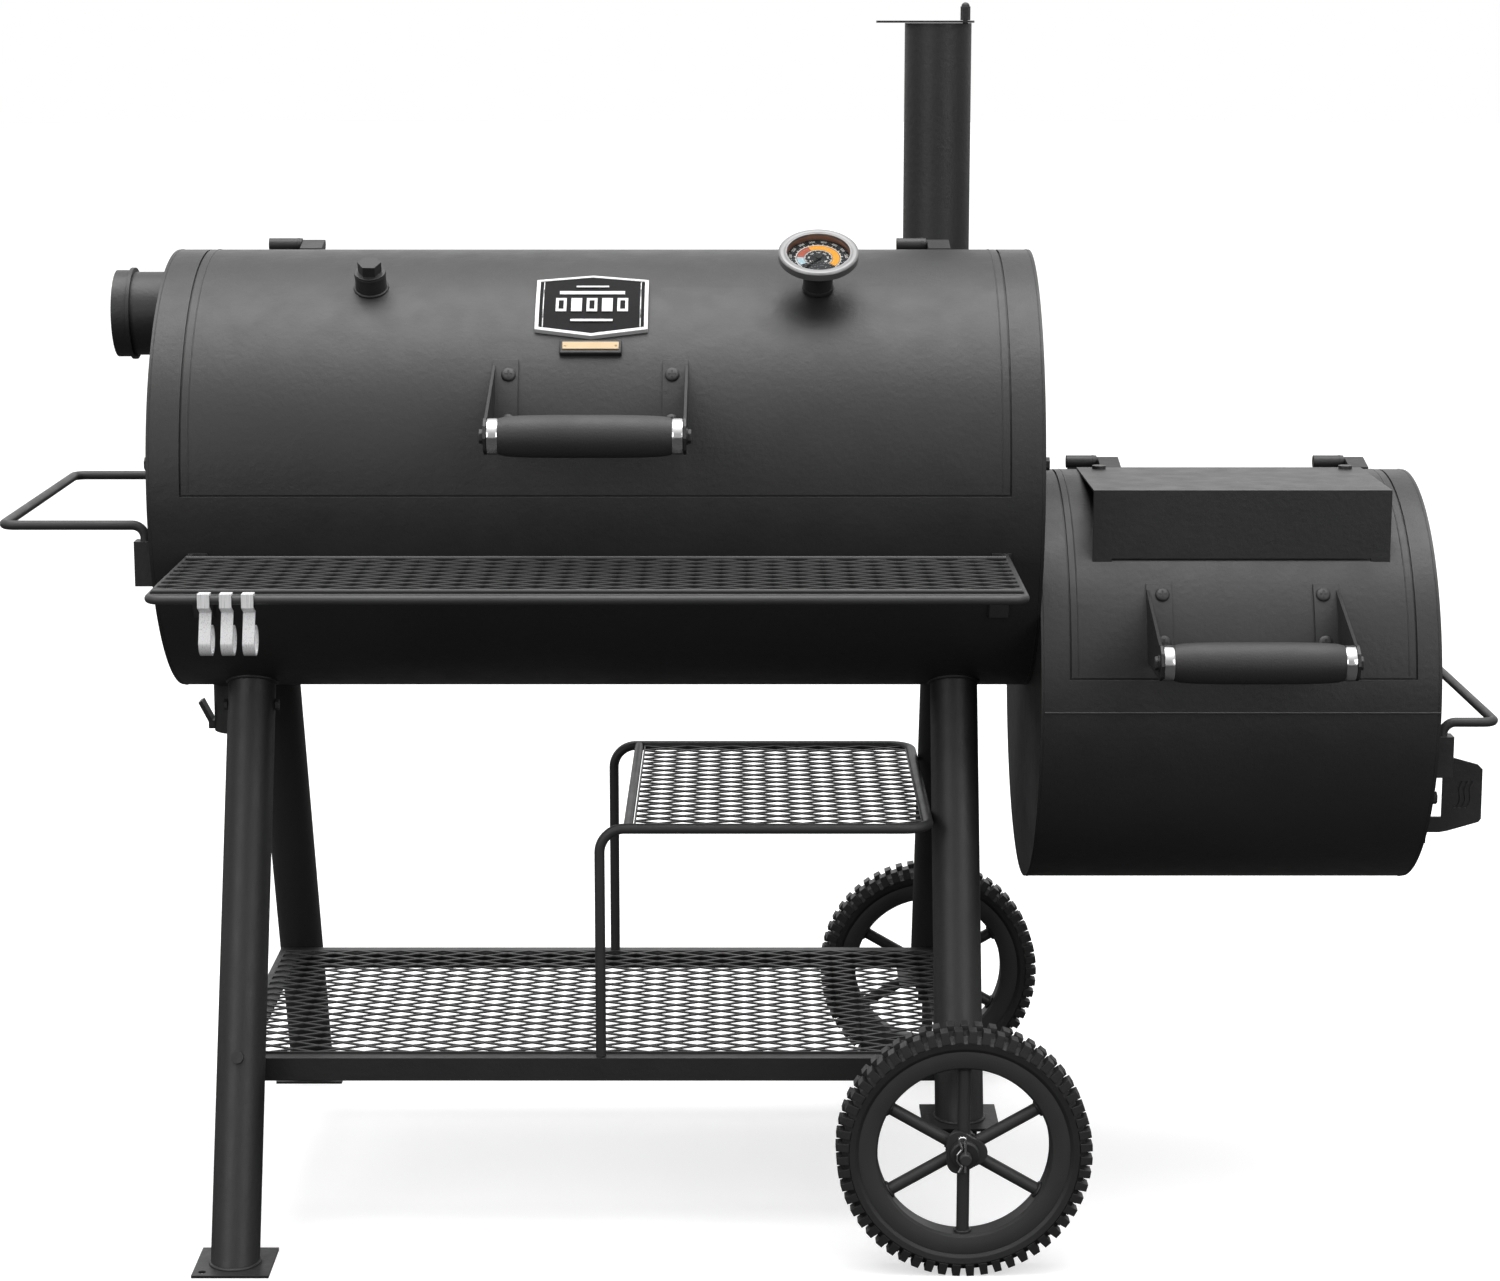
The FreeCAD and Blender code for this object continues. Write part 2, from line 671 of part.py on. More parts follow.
def stack():
    stack_x, stack_y, stack_z = dim("stack_x"), dim("stack_y"), dim("stack_z")
    outer, inner = dim("stack_dia") / 2, dim("stack_bore") / 2
    collar_r = dim("collar_dia") / 2
    skirt = tube(collar_r + WALL, collar_r, (stack_x, BOOT_FRONT, stack_z), (stack_x, BOOT_BACK, stack_z))
    disc = tube(collar_r + WALL, inner, (stack_x, BOOT_BACK, stack_z), (stack_x, BOOT_BACK + PLATE, stack_z))
    stub = tube(outer, inner, (stack_x, BOOT_BACK, stack_z), (stack_x, stack_y + 60, stack_z))
    boot = skirt.fuse([disc, stub.common(mitre_side(False))]).removeSplitter()
    add_piece("stack_boot", [boot])
    pipe = tube(outer, inner, (stack_x, stack_y, stack_z - 60), (stack_x, stack_y, dim("stack_top")))
    add_piece("chimney_pipe", [pipe.common(mitre_side(True))])
    pivot_x = stack_x + PIVOT_OFFSET
    top = dim("stack_top")
    boss = rod(6.0, (pivot_x, stack_y, top - 26), (pivot_x, stack_y, top))
    boss = boss.common(rod(inner, (stack_x, stack_y, top - 30), (stack_x, stack_y, top)))
    bolt = rod(PIVOT_DIA / 2, (pivot_x, stack_y, top), (pivot_x, stack_y, top + 16))
    nut_base = top + PLATE_CAP + 2 * GAP
    nut = hex_prism(10.0, (pivot_x, stack_y, nut_base), (pivot_x, stack_y, nut_base + NUT_TALL))
    dome = Part.makeSphere(4.8, V(pivot_x, stack_y, nut_base + NUT_TALL))
    add_piece("damper_pivot", [boss.fuse([bolt, nut, dome]).removeSplitter()])


def damper_cap():
    """The flap that swings off the top of the stack, with its thumb tab."""
    body = add_body("damper_cap")
    sketch = add_sketch(body, "XY_Plane", "Dims.stack_top + Dims.move_gap")
    cx, cy = dim("stack_x"), dim("stack_y")
    half = 10.0
    join = math.sqrt(DAMPER_R ** 2 - half ** 2)
    tip = DAMPER_TAB
    start = V(cx - join, cy - half, 0)
    end = V(cx - join, cy + half, 0)
    sketch.addGeometry(Part.Arc(start, V(cx + DAMPER_R, cy, 0), end), False)
    sketch.addGeometry(Part.LineSegment(end, V(cx - tip + half, cy + half, 0)), False)
    nose = Part.Arc(V(cx - tip + half, cy + half, 0), V(cx - tip, cy, 0), V(cx - tip + half, cy - half, 0))
    sketch.addGeometry(nose, False)
    sketch.addGeometry(Part.LineSegment(V(cx - tip + half, cy - half, 0), start), False)
    draw_circle(sketch, cx + PIVOT_OFFSET, cy, PIVOT_DIA / 2 + dim("running_gap"))
    pad(body, sketch, PLATE_CAP)


def thermometer():
    """Case, dial, glass and needle, on an axis square to the lid."""
    place = radial_place(dim("gauge_x"), dim("gauge_angle"), BARREL_Z)
    case_r = dim("gauge_dia") / 2
    face_r = case_r - 6.8
    back = BARREL_R + 31.5
    front = back + 16.0
    floor = back + 5.5
    profile = [
        (0, BARREL_R - 58), (PROBE_R, BARREL_R - 58), (PROBE_R, BARREL_R), (STEM_R, BARREL_R), (STEM_R, back),
        (case_r - 12, back), (case_r - 1, front - 9), (case_r, front - 8), (case_r, front - 1.2),
        (case_r - 1.2, front), (case_r - 8.8, front), (case_r - 8.8, front - 2.5), (face_r, front - 2.5),
        (face_r, floor), (0, floor),
    ]
    body = turned_body("thermometer_case", profile, place)
    saddle = add_sketch(body, "YZ_Plane")
    draw_circle(saddle, 0, 0, "Dims.barrel_radius - 0.02")
    draw_circle(saddle, 0, 0, "Dims.barrel_radius - Dims.sheet_wall")
    pocket(body, saddle)
    probe = add_sketch(body, "XY_Plane", BARREL_R - 30)
    draw_circle(probe, 0, 0, PROBE_R)
    pad(body, probe, 40)
    dial = add_body("thermometer_dial", place)
    sketch = add_sketch(dial, "XY_Plane", floor)
    draw_circle(sketch, 0, 0, face_r)
    pad(dial, sketch, 2.0)
    dial_top = floor + 2.0
    glass = add_body("thermometer_glass", place)
    sketch = add_sketch(glass, "XY_Plane", front - 4.0)
    draw_circle(sketch, 0, 0, face_r)
    pad(glass, sketch, 1.5)
    needle = add_body("thermometer_needle", place)
    hub = add_sketch(needle, "XY_Plane", dial_top + GAP)
    draw_circle(hub, 0, 0, 3.2)
    pad(needle, hub, 2.2)
    blade = add_sketch(needle, "XY_Plane", dial_top + 1.0)
    turn = math.radians(NEEDLE_REST)
    along = (math.cos(turn), math.sin(turn))
    aside = (-along[1], along[0])
    ends = ((-7.0, 1.6), (26.0, 0.5))
    outline = []
    for reach, half in ends:
        outline.append((reach * along[0] + half * aside[0], reach * along[1] + half * aside[1]))
    for reach, half in reversed(ends):
        outline.append((reach * along[0] - half * aside[0], reach * along[1] - half * aside[1]))
    draw_polygon(blade, outline)
    pad(needle, blade, 0.6)


def plugged_coupling():
    """A threaded coupling welded to the lid, closed by a hexagon-headed plug."""
    place = radial_place(dim("plug_x"), dim("plug_angle"), BARREL_Z)
    ring = Part.makeCylinder(16.3, 24, V(0, 0, BARREL_R - 3))
    ring = ring.cut(Part.makeCylinder(10.5, 40, V(0, 0, BARREL_R - 8)))
    plug = Part.makeCylinder(10.5, 20, V(0, 0, BARREL_R + 0.5))
    head = hex_prism(21.5, (0, 0, BARREL_R + 20.5), (0, 0, BARREL_R + 32.5))
    lying_drum = rod(BARREL_R, (-FAR, 0, 0), (FAR, 0, 0))
    pieces = []
    for shape in (ring.cut(lying_drum), plug.fuse(head).removeSplitter()):
        moved = shape.copy()
        moved.Placement = place
        pieces.append(moved)
    add_piece("plugged_coupling", pieces)


def badge():
    """A plain six-sided plate and a bar under it, rolled to the lid."""
    place = radial_place(BADGE_X, BADGE_ANGLE, BARREL_Z)
    half_w, half_h = BADGE_WIDTH / 2, BADGE_HEIGHT / 2
    side_h = half_h - BADGE_PEAK
    hexagon = [
        (0, -half_h), (half_w, -side_h), (half_w, side_h),
        (0, half_h), (-half_w, side_h), (-half_w, -side_h),
    ]
    corners = [V(x, y, BARREL_R - 20) for x, y in hexagon]
    plate = Part.Face(Part.makePolygon(corners + corners[:1])).extrude(V(0, 0, 40))
    skin = tube(BARREL_R + BADGE_THICK, BARREL_R, (-FAR, 0, 0), (FAR, 0, 0))
    plate = plate.common(skin)
    plate.Placement = place
    bar_place = radial_place(BADGE_X, BAR_ANGLE, BARREL_Z)
    bar = block(-BAR_WIDTH / 2, BAR_WIDTH / 2, -BAR_HEIGHT / 2, BAR_HEIGHT / 2, BARREL_R - 10, BARREL_R + 10)
    bar = bar.common(tube(BARREL_R + BAR_THICK, BARREL_R, (-FAR, 0, 0), (FAR, 0, 0)))
    bar.Placement = bar_place
    add_piece("badge", [plate, bar])


# ---------------------------------------------------------------- handles, shelf, supports

def end_handles():
    """Loop handles at both ends and the sockets they stand in."""
    handle_r = dim("handle_rod") / 2
    loops = []
    sockets = []
    for wall_x, out, half, level, end_x, low, high in (
        (BARREL_L, -1, 192.0, 762.0, -769.0, 699.0, 746.0),
        (FIRE_END, 1, 185.0, 551.0, 795.0, 493.0, 537.0),
    ):
        post_x = wall_x + out * 10.5
        foot = low + 6
        loops.append(bent_rod([
            (post_x, -half, foot), (post_x, -half, level), (end_x, -half, level),
            (end_x, half, level), (post_x, half, level), (post_x, half, foot),
        ], handle_r, 13.0))
        for side in (-1, 1):
            outer_x = wall_x + out * 21.0
            y = side * half
            body = block(min(wall_x, outer_x), max(wall_x, outer_x), y - 10, y + 10, low, high)
            sockets.append(body.cut(rod(handle_r, (post_x, y, foot), (post_x, y, high + 10))))
    add_piece("end_handles", loops)
    add_piece("handle_sockets", sockets)


def front_shelf():
    rod_r = dim("shelf_rod") / 2
    z = dim("shelf_z")
    front = dim("shelf_front_y")
    back = -math.sqrt(BARREL_R ** 2 - (z - BARREL_Z) ** 2) - 1.0
    loop = bent_rod([
        (SHELF_LEFT, back, z), (SHELF_LEFT, front, z), (SHELF_RIGHT, front, z), (SHELF_RIGHT, back, z),
    ], rod_r, 12.0)
    parts = [loop]
    front_rod, back_rod = front + 10.5, SHELF_BACK
    for y in (front_rod, back_rod):
        level = z + rod_r - SHELF_CROSS_R
        parts.append(rod(SHELF_CROSS_R, (SHELF_LEFT + 2, y, level), (SHELF_RIGHT - 2, y, level)))
    for x0 in (-570.0, 258.0):
        band = tube(BARREL_R + 3, BARREL_R, (x0, 0, BARREL_Z), (x0 + 20, 0, BARREL_Z))
        parts.append(band.common(block(x0, x0 + 20, -300, -100, 666, z + rod_r)))
    frame = parts[0].fuse(parts[1:]).cut(drum(BARREL_R, BARREL_Z)).removeSplitter()
    add_piece("shelf_frame", [frame])
    mesh_z = z + rod_r + 0.05
    mesh = expanded_metal(SHELF_LEFT + 1, SHELF_RIGHT - 1, front_rod + 0.5, back_rod - 0.5, mesh_z)
    add_piece("shelf_mesh", [mesh])


def tool_hooks():
    """Flat hooks folded over the shelf's front rod, each curled back into a ring at its foot."""
    rod_r = dim("shelf_rod") / 2
    z = dim("shelf_z")
    y = dim("shelf_front_y")
    inner = rod_r + 0.05
    face = y - inner - HOOK_THICK
    crown = z + inner + HOOK_THICK
    centre_y = face + HOOK_CURL
    centre_z = z - 40.7
    hooks = []
    for x in HOOK_X:
        outline = [
            (y + inner, z - 5), (y + inner + HOOK_THICK, z - 5), (y + inner + HOOK_THICK, crown),
            (face, crown), (face, z - 7), (face + HOOK_BACK, z - 13),
        ]
        steps = 24
        turns = [math.radians(180 + HOOK_SWEEP * k / steps) for k in range(steps + 1)]
        for turn in turns:
            outline.append((centre_y + HOOK_CURL * math.cos(turn), centre_z + HOOK_CURL * math.sin(turn)))
        inside = HOOK_CURL - HOOK_THICK
        for turn in reversed(turns):
            outline.append((centre_y + inside * math.cos(turn), centre_z + inside * math.sin(turn)))
        outline += [
            (face + HOOK_BACK + 2.5, z - 12), (face + HOOK_THICK, z - 5.8), (face + HOOK_THICK, z + inner),
            (y + inner, z + inner),
        ]
        hook = profile_x(outline, x - HOOK_WIDE / 2, x + HOOK_WIDE / 2)
        hooks.append(hook.cut(rod(rod_r, (x - 20, y, z), (x + 20, y, z))))
    add_piece("tool_hooks", hooks)


def angle_rail(x0, x1, side, outer_y, top, size=20.0, thick=2.0):
    """A length of angle: upright face outside, flat face on top, turned inward."""
    points = [
        (side * outer_y, top), (side * (outer_y - size), top), (side * (outer_y - size), top - thick),
        (side * (outer_y - thick), top - thick), (side * (outer_y - thick), top - size),
        (side * outer_y, top - size),
    ]
    return profile_x(points, x0, x1)


def inner_rails():
    rails = []
    for side in (-1, 1):
        rails.append(angle_rail(BARREL_L + PLATE, BARREL_END - PLATE, side, 226.0, dim("rail_top")))
        rails.append(angle_rail(FIRE_L, FIRE_END - PLATE, side, 194.3, dim("coal_rail_top")))
    add_piece("grate_rails", rails)
    half = math.sqrt((BARREL_R - WALL) ** 2 - (BARREL_Z - BAFFLE_Z) ** 2) - 0.4
    sheet_part = block(BAFFLE_LEFT, BARREL_END - PLATE, -half, half, BAFFLE_Z, BAFFLE_Z + PLATE)
    add_piece("smoke_baffle", [sheet_part])


def rod_grate(name, x0, x1, half_y, z, frame_r, bar_r, pitch):
    """A lift-out grate: two side rods and cross bars welded between them."""
    side_y = half_y - frame_r
    sides = [rod(frame_r, (x0, s * side_y, z + frame_r), (x1, s * side_y, z + frame_r)) for s in (-1, 1)]
    count = int((x1 - x0 - 2 * frame_r) / pitch)
    step = (x1 - x0 - 2 * frame_r) / count
    bars = []
    for k in range(count + 1):
        x = x0 + frame_r + k * step
        radius = (frame_r + bar_r) / 2 if k in (0, count) else bar_r
        bars.append(rod(radius, (x, -side_y, z + frame_r), (x, side_y, z + frame_r)))
    add_piece(name, [sides[0].fuse([sides[1]] + bars)])


def leg_axis(x, side, z):
    return V(x, side * (dim("leg_foot_y") - dim("leg_lean") * z), z)


def leg(name, x, side, plate_z, reach_out):
    """A sloping tube, saddled to the barrel above and welded to a square plate below."""
    outer = dim("leg_dia") / 2
    start = leg_axis(x, side, -60)
    end = leg_axis(x, side, 640)
    solid = Part.makeCylinder(outer, (end - start).Length, start, end - start)
    hollow = Part.makeCylinder(outer - dim("leg_wall"), (end - start).Length, start, end - start)
    shaft = solid.cut(hollow).cut(drum(BARREL_R, BARREL_Z))
    shaft = shaft.cut(block(x - 60, x + 60, -FAR, FAR, -200, plate_z + PLATE))
    half = dim("foot_side") / 2
    centre_y = leg_axis(x, side, plate_z + PLATE).y
    plate = block(x - half, x + half, centre_y - half, centre_y + half, plate_z, plate_z + PLATE)
    if reach_out:
        peg_x = x - half + 10
        peg_y = centre_y + side * (half - 10)
        plate = plate.cut(rod(FOOT_HOLE_R, (peg_x, peg_y, -9), (peg_x, peg_y, 9)))
    pieces = [s for s in shaft.Solids if s.Volume > 1000.0]
    pieces.sort(key=lambda s: s.BoundBox.ZMin)
    add_piece(name, [pieces[0].fuse(plate).removeSplitter()])


def legs():
    left, right = dim("leg_left_x"), dim("leg_right_x")
    leg("leg_front_left", left, -1, 0.0, True)
    leg("leg_rear_left", left, 1, 0.0, True)
    leg("leg_front_right", right, -1, AXLE_PLATE_Z, False)
    leg("leg_rear_right", right, 1, AXLE_PLATE_Z, False)


def bolt_pair(centre, axis, gap, across, thick):
    """A head and a nut on either side of a gap."""
    centre = V(*centre)
    axis = V(*axis).normalize()
    near = centre + axis * (gap / 2)
    far = centre - axis * (gap / 2)
    return [
        hex_prism(across, tuple(near), tuple(near + axis * thick)),
        hex_prism(across, tuple(far), tuple(far - axis * thick)),
    ]


def frame_bolts():
    """All the hexagon bolts and pan screws that hold legs, rails and tray together."""
    parts = []
    leg_r = dim("leg_dia") / 2
    lean = math.hypot(1.0, dim("leg_lean"))
    for side in (-1, 1):
        centre = tuple(leg_axis(dim("leg_left_x"), side, LEG_BOLT_Z))
        parts += bolt_pair(centre, (1, 0, 0), 2 * leg_r, 11.0, 4.2)
    for x in (dim("leg_left_x"), dim("leg_right_x")):
        for side in (-1, 1):
            out = V(0, side / lean, dim("leg_lean") / lean)
            base = leg_axis(x, side, TRAY_SCREW_Z) + out * (leg_r - 0.6)
            head = Part.makeCylinder(6.5, 4.5, base, out)
            start, end = leg_axis(x, side, 0), leg_axis(x, side, 640)
            parts.append(head.cut(Part.makeCylinder(leg_r, (end - start).Length, start, end - start)))
    for x, out in ((BARREL_L, -1), (BARREL_END, 1)):
        for side in (-1, 1):
            head = hex_prism(12.0, (x, side * 205.0, 828.0), (x + out * 6.0, side * 205.0, 828.0))
            parts.append(head)
    for side in (-1, 1):
        parts.append(hex_prism(12.0, (FIRE_END, side * 188.0, 470.0), (FIRE_END + 6.0, side * 188.0, 470.0)))
    add_piece("frame_bolts", parts)


def axle_group():
    x, z = dim("leg_right_x"), dim("axle_z")
    radius = dim("axle_dia") / 2
    reach = dim("axle_reach")
    centre_y = leg_axis(x, 1, AXLE_PLATE_Z + PLATE).y
    hangers = []
    for side in (-1, 1):
        for offset in (-26.0, 26.0):
            y0 = side * centre_y + offset - PLATE / 2
            ear = block(x - 17, x + 17, y0, y0 + PLATE, z - 14, AXLE_PLATE_Z)
            hangers.append(ear.cut(rod(radius, (x, -FAR, z), (x, FAR, z))))
    add_piece("axle_hangers", hangers)
    shaft = rod(radius, (x, -reach, z), (x, reach, z))
    washers = []
    clips = []
    for side in (-1, 1):
        clip_y = side * CLIP_Y
        shaft = shaft.cut(rod(CLIP_R, (x, clip_y, z - 20), (x, clip_y, z + 20)))
        for w0, w1 in ((HUB_IN - 2.6, HUB_IN - 0.4), (HUB_OUT + 0.4, HUB_OUT + 2.2)):
            washers.append(tube(14.0, radius, (x, side * w0, z), (x, side * w1, z)))
        straight = rod(CLIP_R, (x, clip_y, z - 15.7), (x, clip_y, z + 14))
        clips.append(straight.fuse(bent_rod([(x + dx, clip_y, z + dz) for dx, dz in CLIP_BEND], CLIP_R, 3.0)))
    add_piece("axle", [shaft] + washers + clips)


def wheel(name, side):
    """A one-piece pressed wheel: tread blocks, rim, six round spokes and a hub tube."""
    x, z = dim("leg_right_x"), dim("axle_z")
    outer = dim("wheel_radius")
    half = dim("wheel_width") / 2
    mid = dim("wheel_y")
    inner = outer - TREAD_DEPTH
    profile = [
        (RIM_INNER, -half + 7), (RIM_INNER + 6, -half + 3), (TYRE_LINE, -half + 3), (TYRE_LINE, -half),
        (inner - 3, -half), (outer, -half + 4), (outer, half - 4), (inner - 3, half), (TYRE_LINE, half),
        (TYRE_LINE, half - 3), (RIM_INNER + 6, half - 3), (RIM_INNER, half - 7),
    ]
    corners = [V(radius, 0, level) for radius, level in profile]
    ring = Part.Face(Part.makePolygon(corners + corners[:1])).revolve(V(0, 0, 0), V(0, 0, 1), 360)
    notch = Part.makeBox(3 * TREAD_DEPTH, TREAD_GAP, 3 * half, V(inner, -TREAD_GAP / 2, -1.5 * half))
    notches = []
    for k in range(TREAD_COUNT):
        turn = notch.copy()
        turn.rotate(V(0, 0, 0), V(0, 0, 1), 360.0 * k / TREAD_COUNT)
        notches.append(turn)
    ring = ring.cut(notches)
    hub_in = HUB_IN - mid
    hub_out = HUB_OUT - mid
    spokes = []
    for k in range(6):
        turn = math.radians(60 * k + 30)
        tip = (math.cos(turn) * (RIM_INNER + 3), math.sin(turn) * (RIM_INNER + 3), 0)
        spokes.append(rod(6.5, (0, 0, 0), tip))
    hub = rod(15.0, (0, 0, hub_in), (0, 0, hub_out))
    shape = ring.fuse(spokes + [hub])
    shape = shape.cut(rod(dim("axle_dia") / 2 + dim("running_gap"), (0, 0, -FAR), (0, 0, FAR)))
    lying = FreeCAD.Rotation(V(1, 0, 0), -90 * side)
    shape.Placement = FreeCAD.Placement(V(x, side * mid, z), lying)
    add_piece(name, [shape])


def lower_shelf():
    top = dim("tray_top")
    x0, x1 = TRAY_X
    long_rails = [angle_rail(x0, x1, side, TRAY_Y, top, 25.0) for side in (-1, 1)]
    ends = []
    for x, inward in ((x0, 1), (x1, -1)):
        points = [
            (x, top), (x + inward * 25, top), (x + inward * 25, top - 2), (x + inward * 2, top - 2),
            (x + inward * 2, top - 25), (x, top - 25),
        ]
        ends.append(profile_y(points, -TRAY_Y, TRAY_Y))
    add_piece("lower_shelf_frame", [long_rails[0].fuse([long_rails[1]] + ends).removeSplitter()])
    add_piece("lower_shelf_mesh", [expanded_metal(x0 + 6, x1 - 6, -TRAY_Y + 18, TRAY_Y - 18, top + 0.05)])


def upper_rack():
    radius = dim("rack_rod") / 2
    z = dim("rack_z")
    left, right, half = RACK
    floor = dim("tray_top")
    loop = bent_rod([
        (left, -half, floor), (left, -half, z), (right, -half, z),
        (right, half, z), (left, half, z), (left, half, floor),
    ], radius, RACK_BEND)
    cross = rod(radius - 0.5, (left + 30, -half + 1, z), (left + 30, half - 1, z))
    add_piece("rack_frame", [loop.fuse(cross).removeSplitter()])
    side = half - radius - 0.1
    mesh = expanded_metal(left + 36, right - radius - 0.1, -side, side, z)
    for s in (-1, 1):
        centre_y = s * (half - RACK_BEND)
        low_y, high_y = sorted((centre_y, s * half))
        corner = block(right - RACK_BEND, right, low_y, high_y, z - 9, z + 9)
        inside = (right - RACK_BEND, centre_y)
        mesh = mesh.cut(corner.cut(rod(RACK_BEND - radius - 0.1, (*inside, z - 10), (*inside, z + 10))))
    add_piece("rack_mesh", [mesh])


def drain():
    spout = tube(DRAIN_OUTER / 2, DRAIN_BORE / 2, (DRAIN_X, 0, 504), (DRAIN_X, 0, 640))
    spout = spout.cut(drum(BARREL_R, BARREL_Z))
    low = min(spout.Solids, key=lambda s: s.BoundBox.ZMin)
    add_piece("drain_spout", [low])
    edge = DRAIN_X - DRAIN_OUTER / 2
    hook = profile_y([
        (edge + 1.5, 506.5), (edge - 5.6, 506.5), (edge - 5.6, 514), (edge - 16.5, 535.5),
        (edge - 12.6, 537.5), (edge - 1.4, 515.5), (edge + 1.5, 515.5),
    ], -10, 10)
    outer = rod(DRAIN_OUTER / 2, (DRAIN_X, 0, 480), (DRAIN_X, 0, 560))
    add_piece("bucket_hook", [hook.cut(outer)])


# ---------------------------------------------------------------- firebox

def firebox_shell():
    for name, upper in (("firebox_upper", True), ("firebox_lower", False)):
        body = add_body(name)
        ring = add_sketch(body, "YZ_Plane", "Dims.barrel_right + Dims.end_plate")
        draw_circle(ring, 0, FIRE_Z, "Dims.firebox_radius")
        draw_circle(ring, 0, FIRE_Z, "Dims.firebox_radius - Dims.sheet_wall")
        pad(body, ring, "Dims.firebox_right - Dims.barrel_right - 2 * Dims.end_plate")
        waste = add_sketch(body, "YZ_Plane", "Dims.barrel_right")
        seam = dim("firebox_seam")
        side = -FAR if upper else 3 * FAR
        draw_polygon(waste, [(-FAR, seam), (FAR, seam), (FAR, side), (-FAR, side)])
        pocket(body, waste)
        if upper:
            gap = dim("lid_gap")
            mouth = add_sketch(body, "XY_Plane", "Dims.firelid_bottom - Dims.lid_gap")
            left, right = dim("firelid_left") - gap, dim("firelid_right") + gap
            rear = dim("firelid_rear") + gap
            draw_polygon(mouth, [(left, -FAR), (right, -FAR), (right, rear), (left, rear)])
            pocket(body, mouth, FAR, up=True)


def heat_shield():
    """A bent sheet standing off the firebox lid, screwed down along its back."""
    x0, x1 = SHIELD_X
    top = FIRE_Z + FIRE_R + 2.0
    front = SHIELD_FRONT
    sheet_part = profile_x([
        (SHIELD_REAR, top), (front - 2, top), (front - 2, SHIELD_LOW), (front, SHIELD_LOW),
        (front, top - 2), (SHIELD_REAR, top - 2),
    ], x0, x1)
    feet = []
    for foot_x in (x0, x1 - 20):
        feet.append(block(foot_x, foot_x + 20, front - 2, front, SHIELD_LOW - 12, SHIELD_LOW))
    body = sheet_part.fuse(feet).cut(drum(FIRE_R, FIRE_Z)).removeSplitter()
    screw_y = SHIELD_REAR - 11
    screws = [rod(SCREW_DIA / 2, (x, screw_y, top), (x, screw_y, top + 3.5)) for x in (x0 + 23.4, x1 - 19)]
    add_piece("heat_shield", [body.fuse(screws)])


def wave_point(x, share):
    """A point along one of the wavy marks pressed into the air door's tab."""
    return x + 6.0 * share + 1.8 * math.sin(2 * math.pi * share), 449.0 + 29.0 * share


def side_door():
    """The air door on the firebox's end, with its marked pull tab, and its hinge."""
    hinge_x, hinge_y = dim("side_hinge_x"), dim("side_hinge_y")
    face = FIRE_END + GAP
    back = face + PLATE
    panel = block(face, back, -155, hinge_y - 8, 412, 528)
    tab = [
        (back - 0.5, 497), (748, 497), (754.5, 505.5), (787.4, 496.3), (792.4, 491.3), (792.7, 436.8),
        (790, 433.3), (756.3, 423.4), (748, 422), (back - 0.5, 422), (back - 0.5, 439), (750, 439),
        (750, 486), (back - 0.5, 486),
    ]
    tab = profile_y(tab, -146.5, -143.5)
    for k in range(3):
        line = [wave_point(TAB_MARK_X + TAB_MARK_STEP * k, i / 12) for i in range(13)]
        near = [(x - TAB_MARK_HALF, z) for x, z in line]
        far = [(x + TAB_MARK_HALF, z) for x, z in reversed(line)]
        tab = tab.cut(profile_y(near + far, -150, -146.5 + TAB_MARK_DEPTH))
    parts = [tab]
    pin_r = 3.0
    knuckle_r = 5.5
    bore = rod(pin_r + dim("running_gap"), (hinge_x, hinge_y, 400), (hinge_x, hinge_y, 540))
    for z0, z1 in ((428.3, 451.7), (488.3, 511.7)):
        parts.append(block(face, back + 2, hinge_y - 10, hinge_y, z0, z1))
        parts.append(rod(knuckle_r, (hinge_x, hinge_y, z0), (hinge_x, hinge_y, z1)))
    add_piece("side_door", [panel.fuse(parts).cut(bore).removeSplitter()])
    middle = rod(knuckle_r, (hinge_x, hinge_y, 452), (hinge_x, hinge_y, 488))
    foot = block(FIRE_END, FIRE_END + 5, hinge_y + 1, hinge_y + 16, 452, 488)
    pin = rod(pin_r, (hinge_x, hinge_y, 426), (hinge_x, hinge_y, 514))
    add_piece("side_door_hinge", [middle.fuse([foot, pin]).removeSplitter()])


barrel_shell()
end_plates()
main_lid = lid_shell(
    "main_lid_shell", "lid_left", "lid_right", "barrel_radius", BARREL_Z, dim("lid_bottom"), dim("lid_rear"),
)
gauge_place = radial_place(dim("gauge_x"), dim("gauge_angle"), BARREL_Z)
probe_hole = add_sketch(main_lid, "XY_Plane", 0, gauge_place)
draw_circle(probe_hole, 0, 0, PROBE_R)
pocket(main_lid, probe_hole, FAR, up=True)
lid_stop_strips()
hinge_set(
    "main_hinge_barrels", "main_lid_knuckles", dim("main_hinge_y"), dim("main_hinge_z"), BARREL_R, BARREL_Z,
    dim("lid_rear"), ((-520.7, -484.4), (171.0, 203.2)), ((-484.0, -459.3), (203.6, 228.5)),
)
lid_handle("main", -254.3, -56.1, BARREL_R, BARREL_Z, -330.0, 872.0, (31.0, 19.0))
pipe_collars()
port_cap()
stack()
damper_cap()
thermometer()
plugged_coupling()
badge()
end_handles()
front_shelf()
tool_hooks()
inner_rails()
rod_grate("cooking_grate_left", -605.0, -151.0, 215.0, dim("rail_top") + GAP, 4.0, 3.0, 19.0)
rod_grate("cooking_grate_right", -147.0, 307.0, 215.0, dim("rail_top") + GAP, 4.0, 3.0, 19.0)
coal_z = dim("coal_rail_top") + GAP
rod_grate("charcoal_grate", FIRE_L + 4, FIRE_END - PLATE - 4, 193.0, coal_z, 5.0, 4.0, 24.0)
legs()
frame_bolts()
axle_group()
wheel("wheel_front", -1)
wheel("wheel_rear", 1)
lower_shelf()
upper_rack()
drain()
firebox_shell()
lid_shell(
    "firebox_lid_shell", "firelid_left", "firelid_right", "firebox_radius", FIRE_Z,
    dim("firelid_bottom"), dim("firelid_rear"),
)
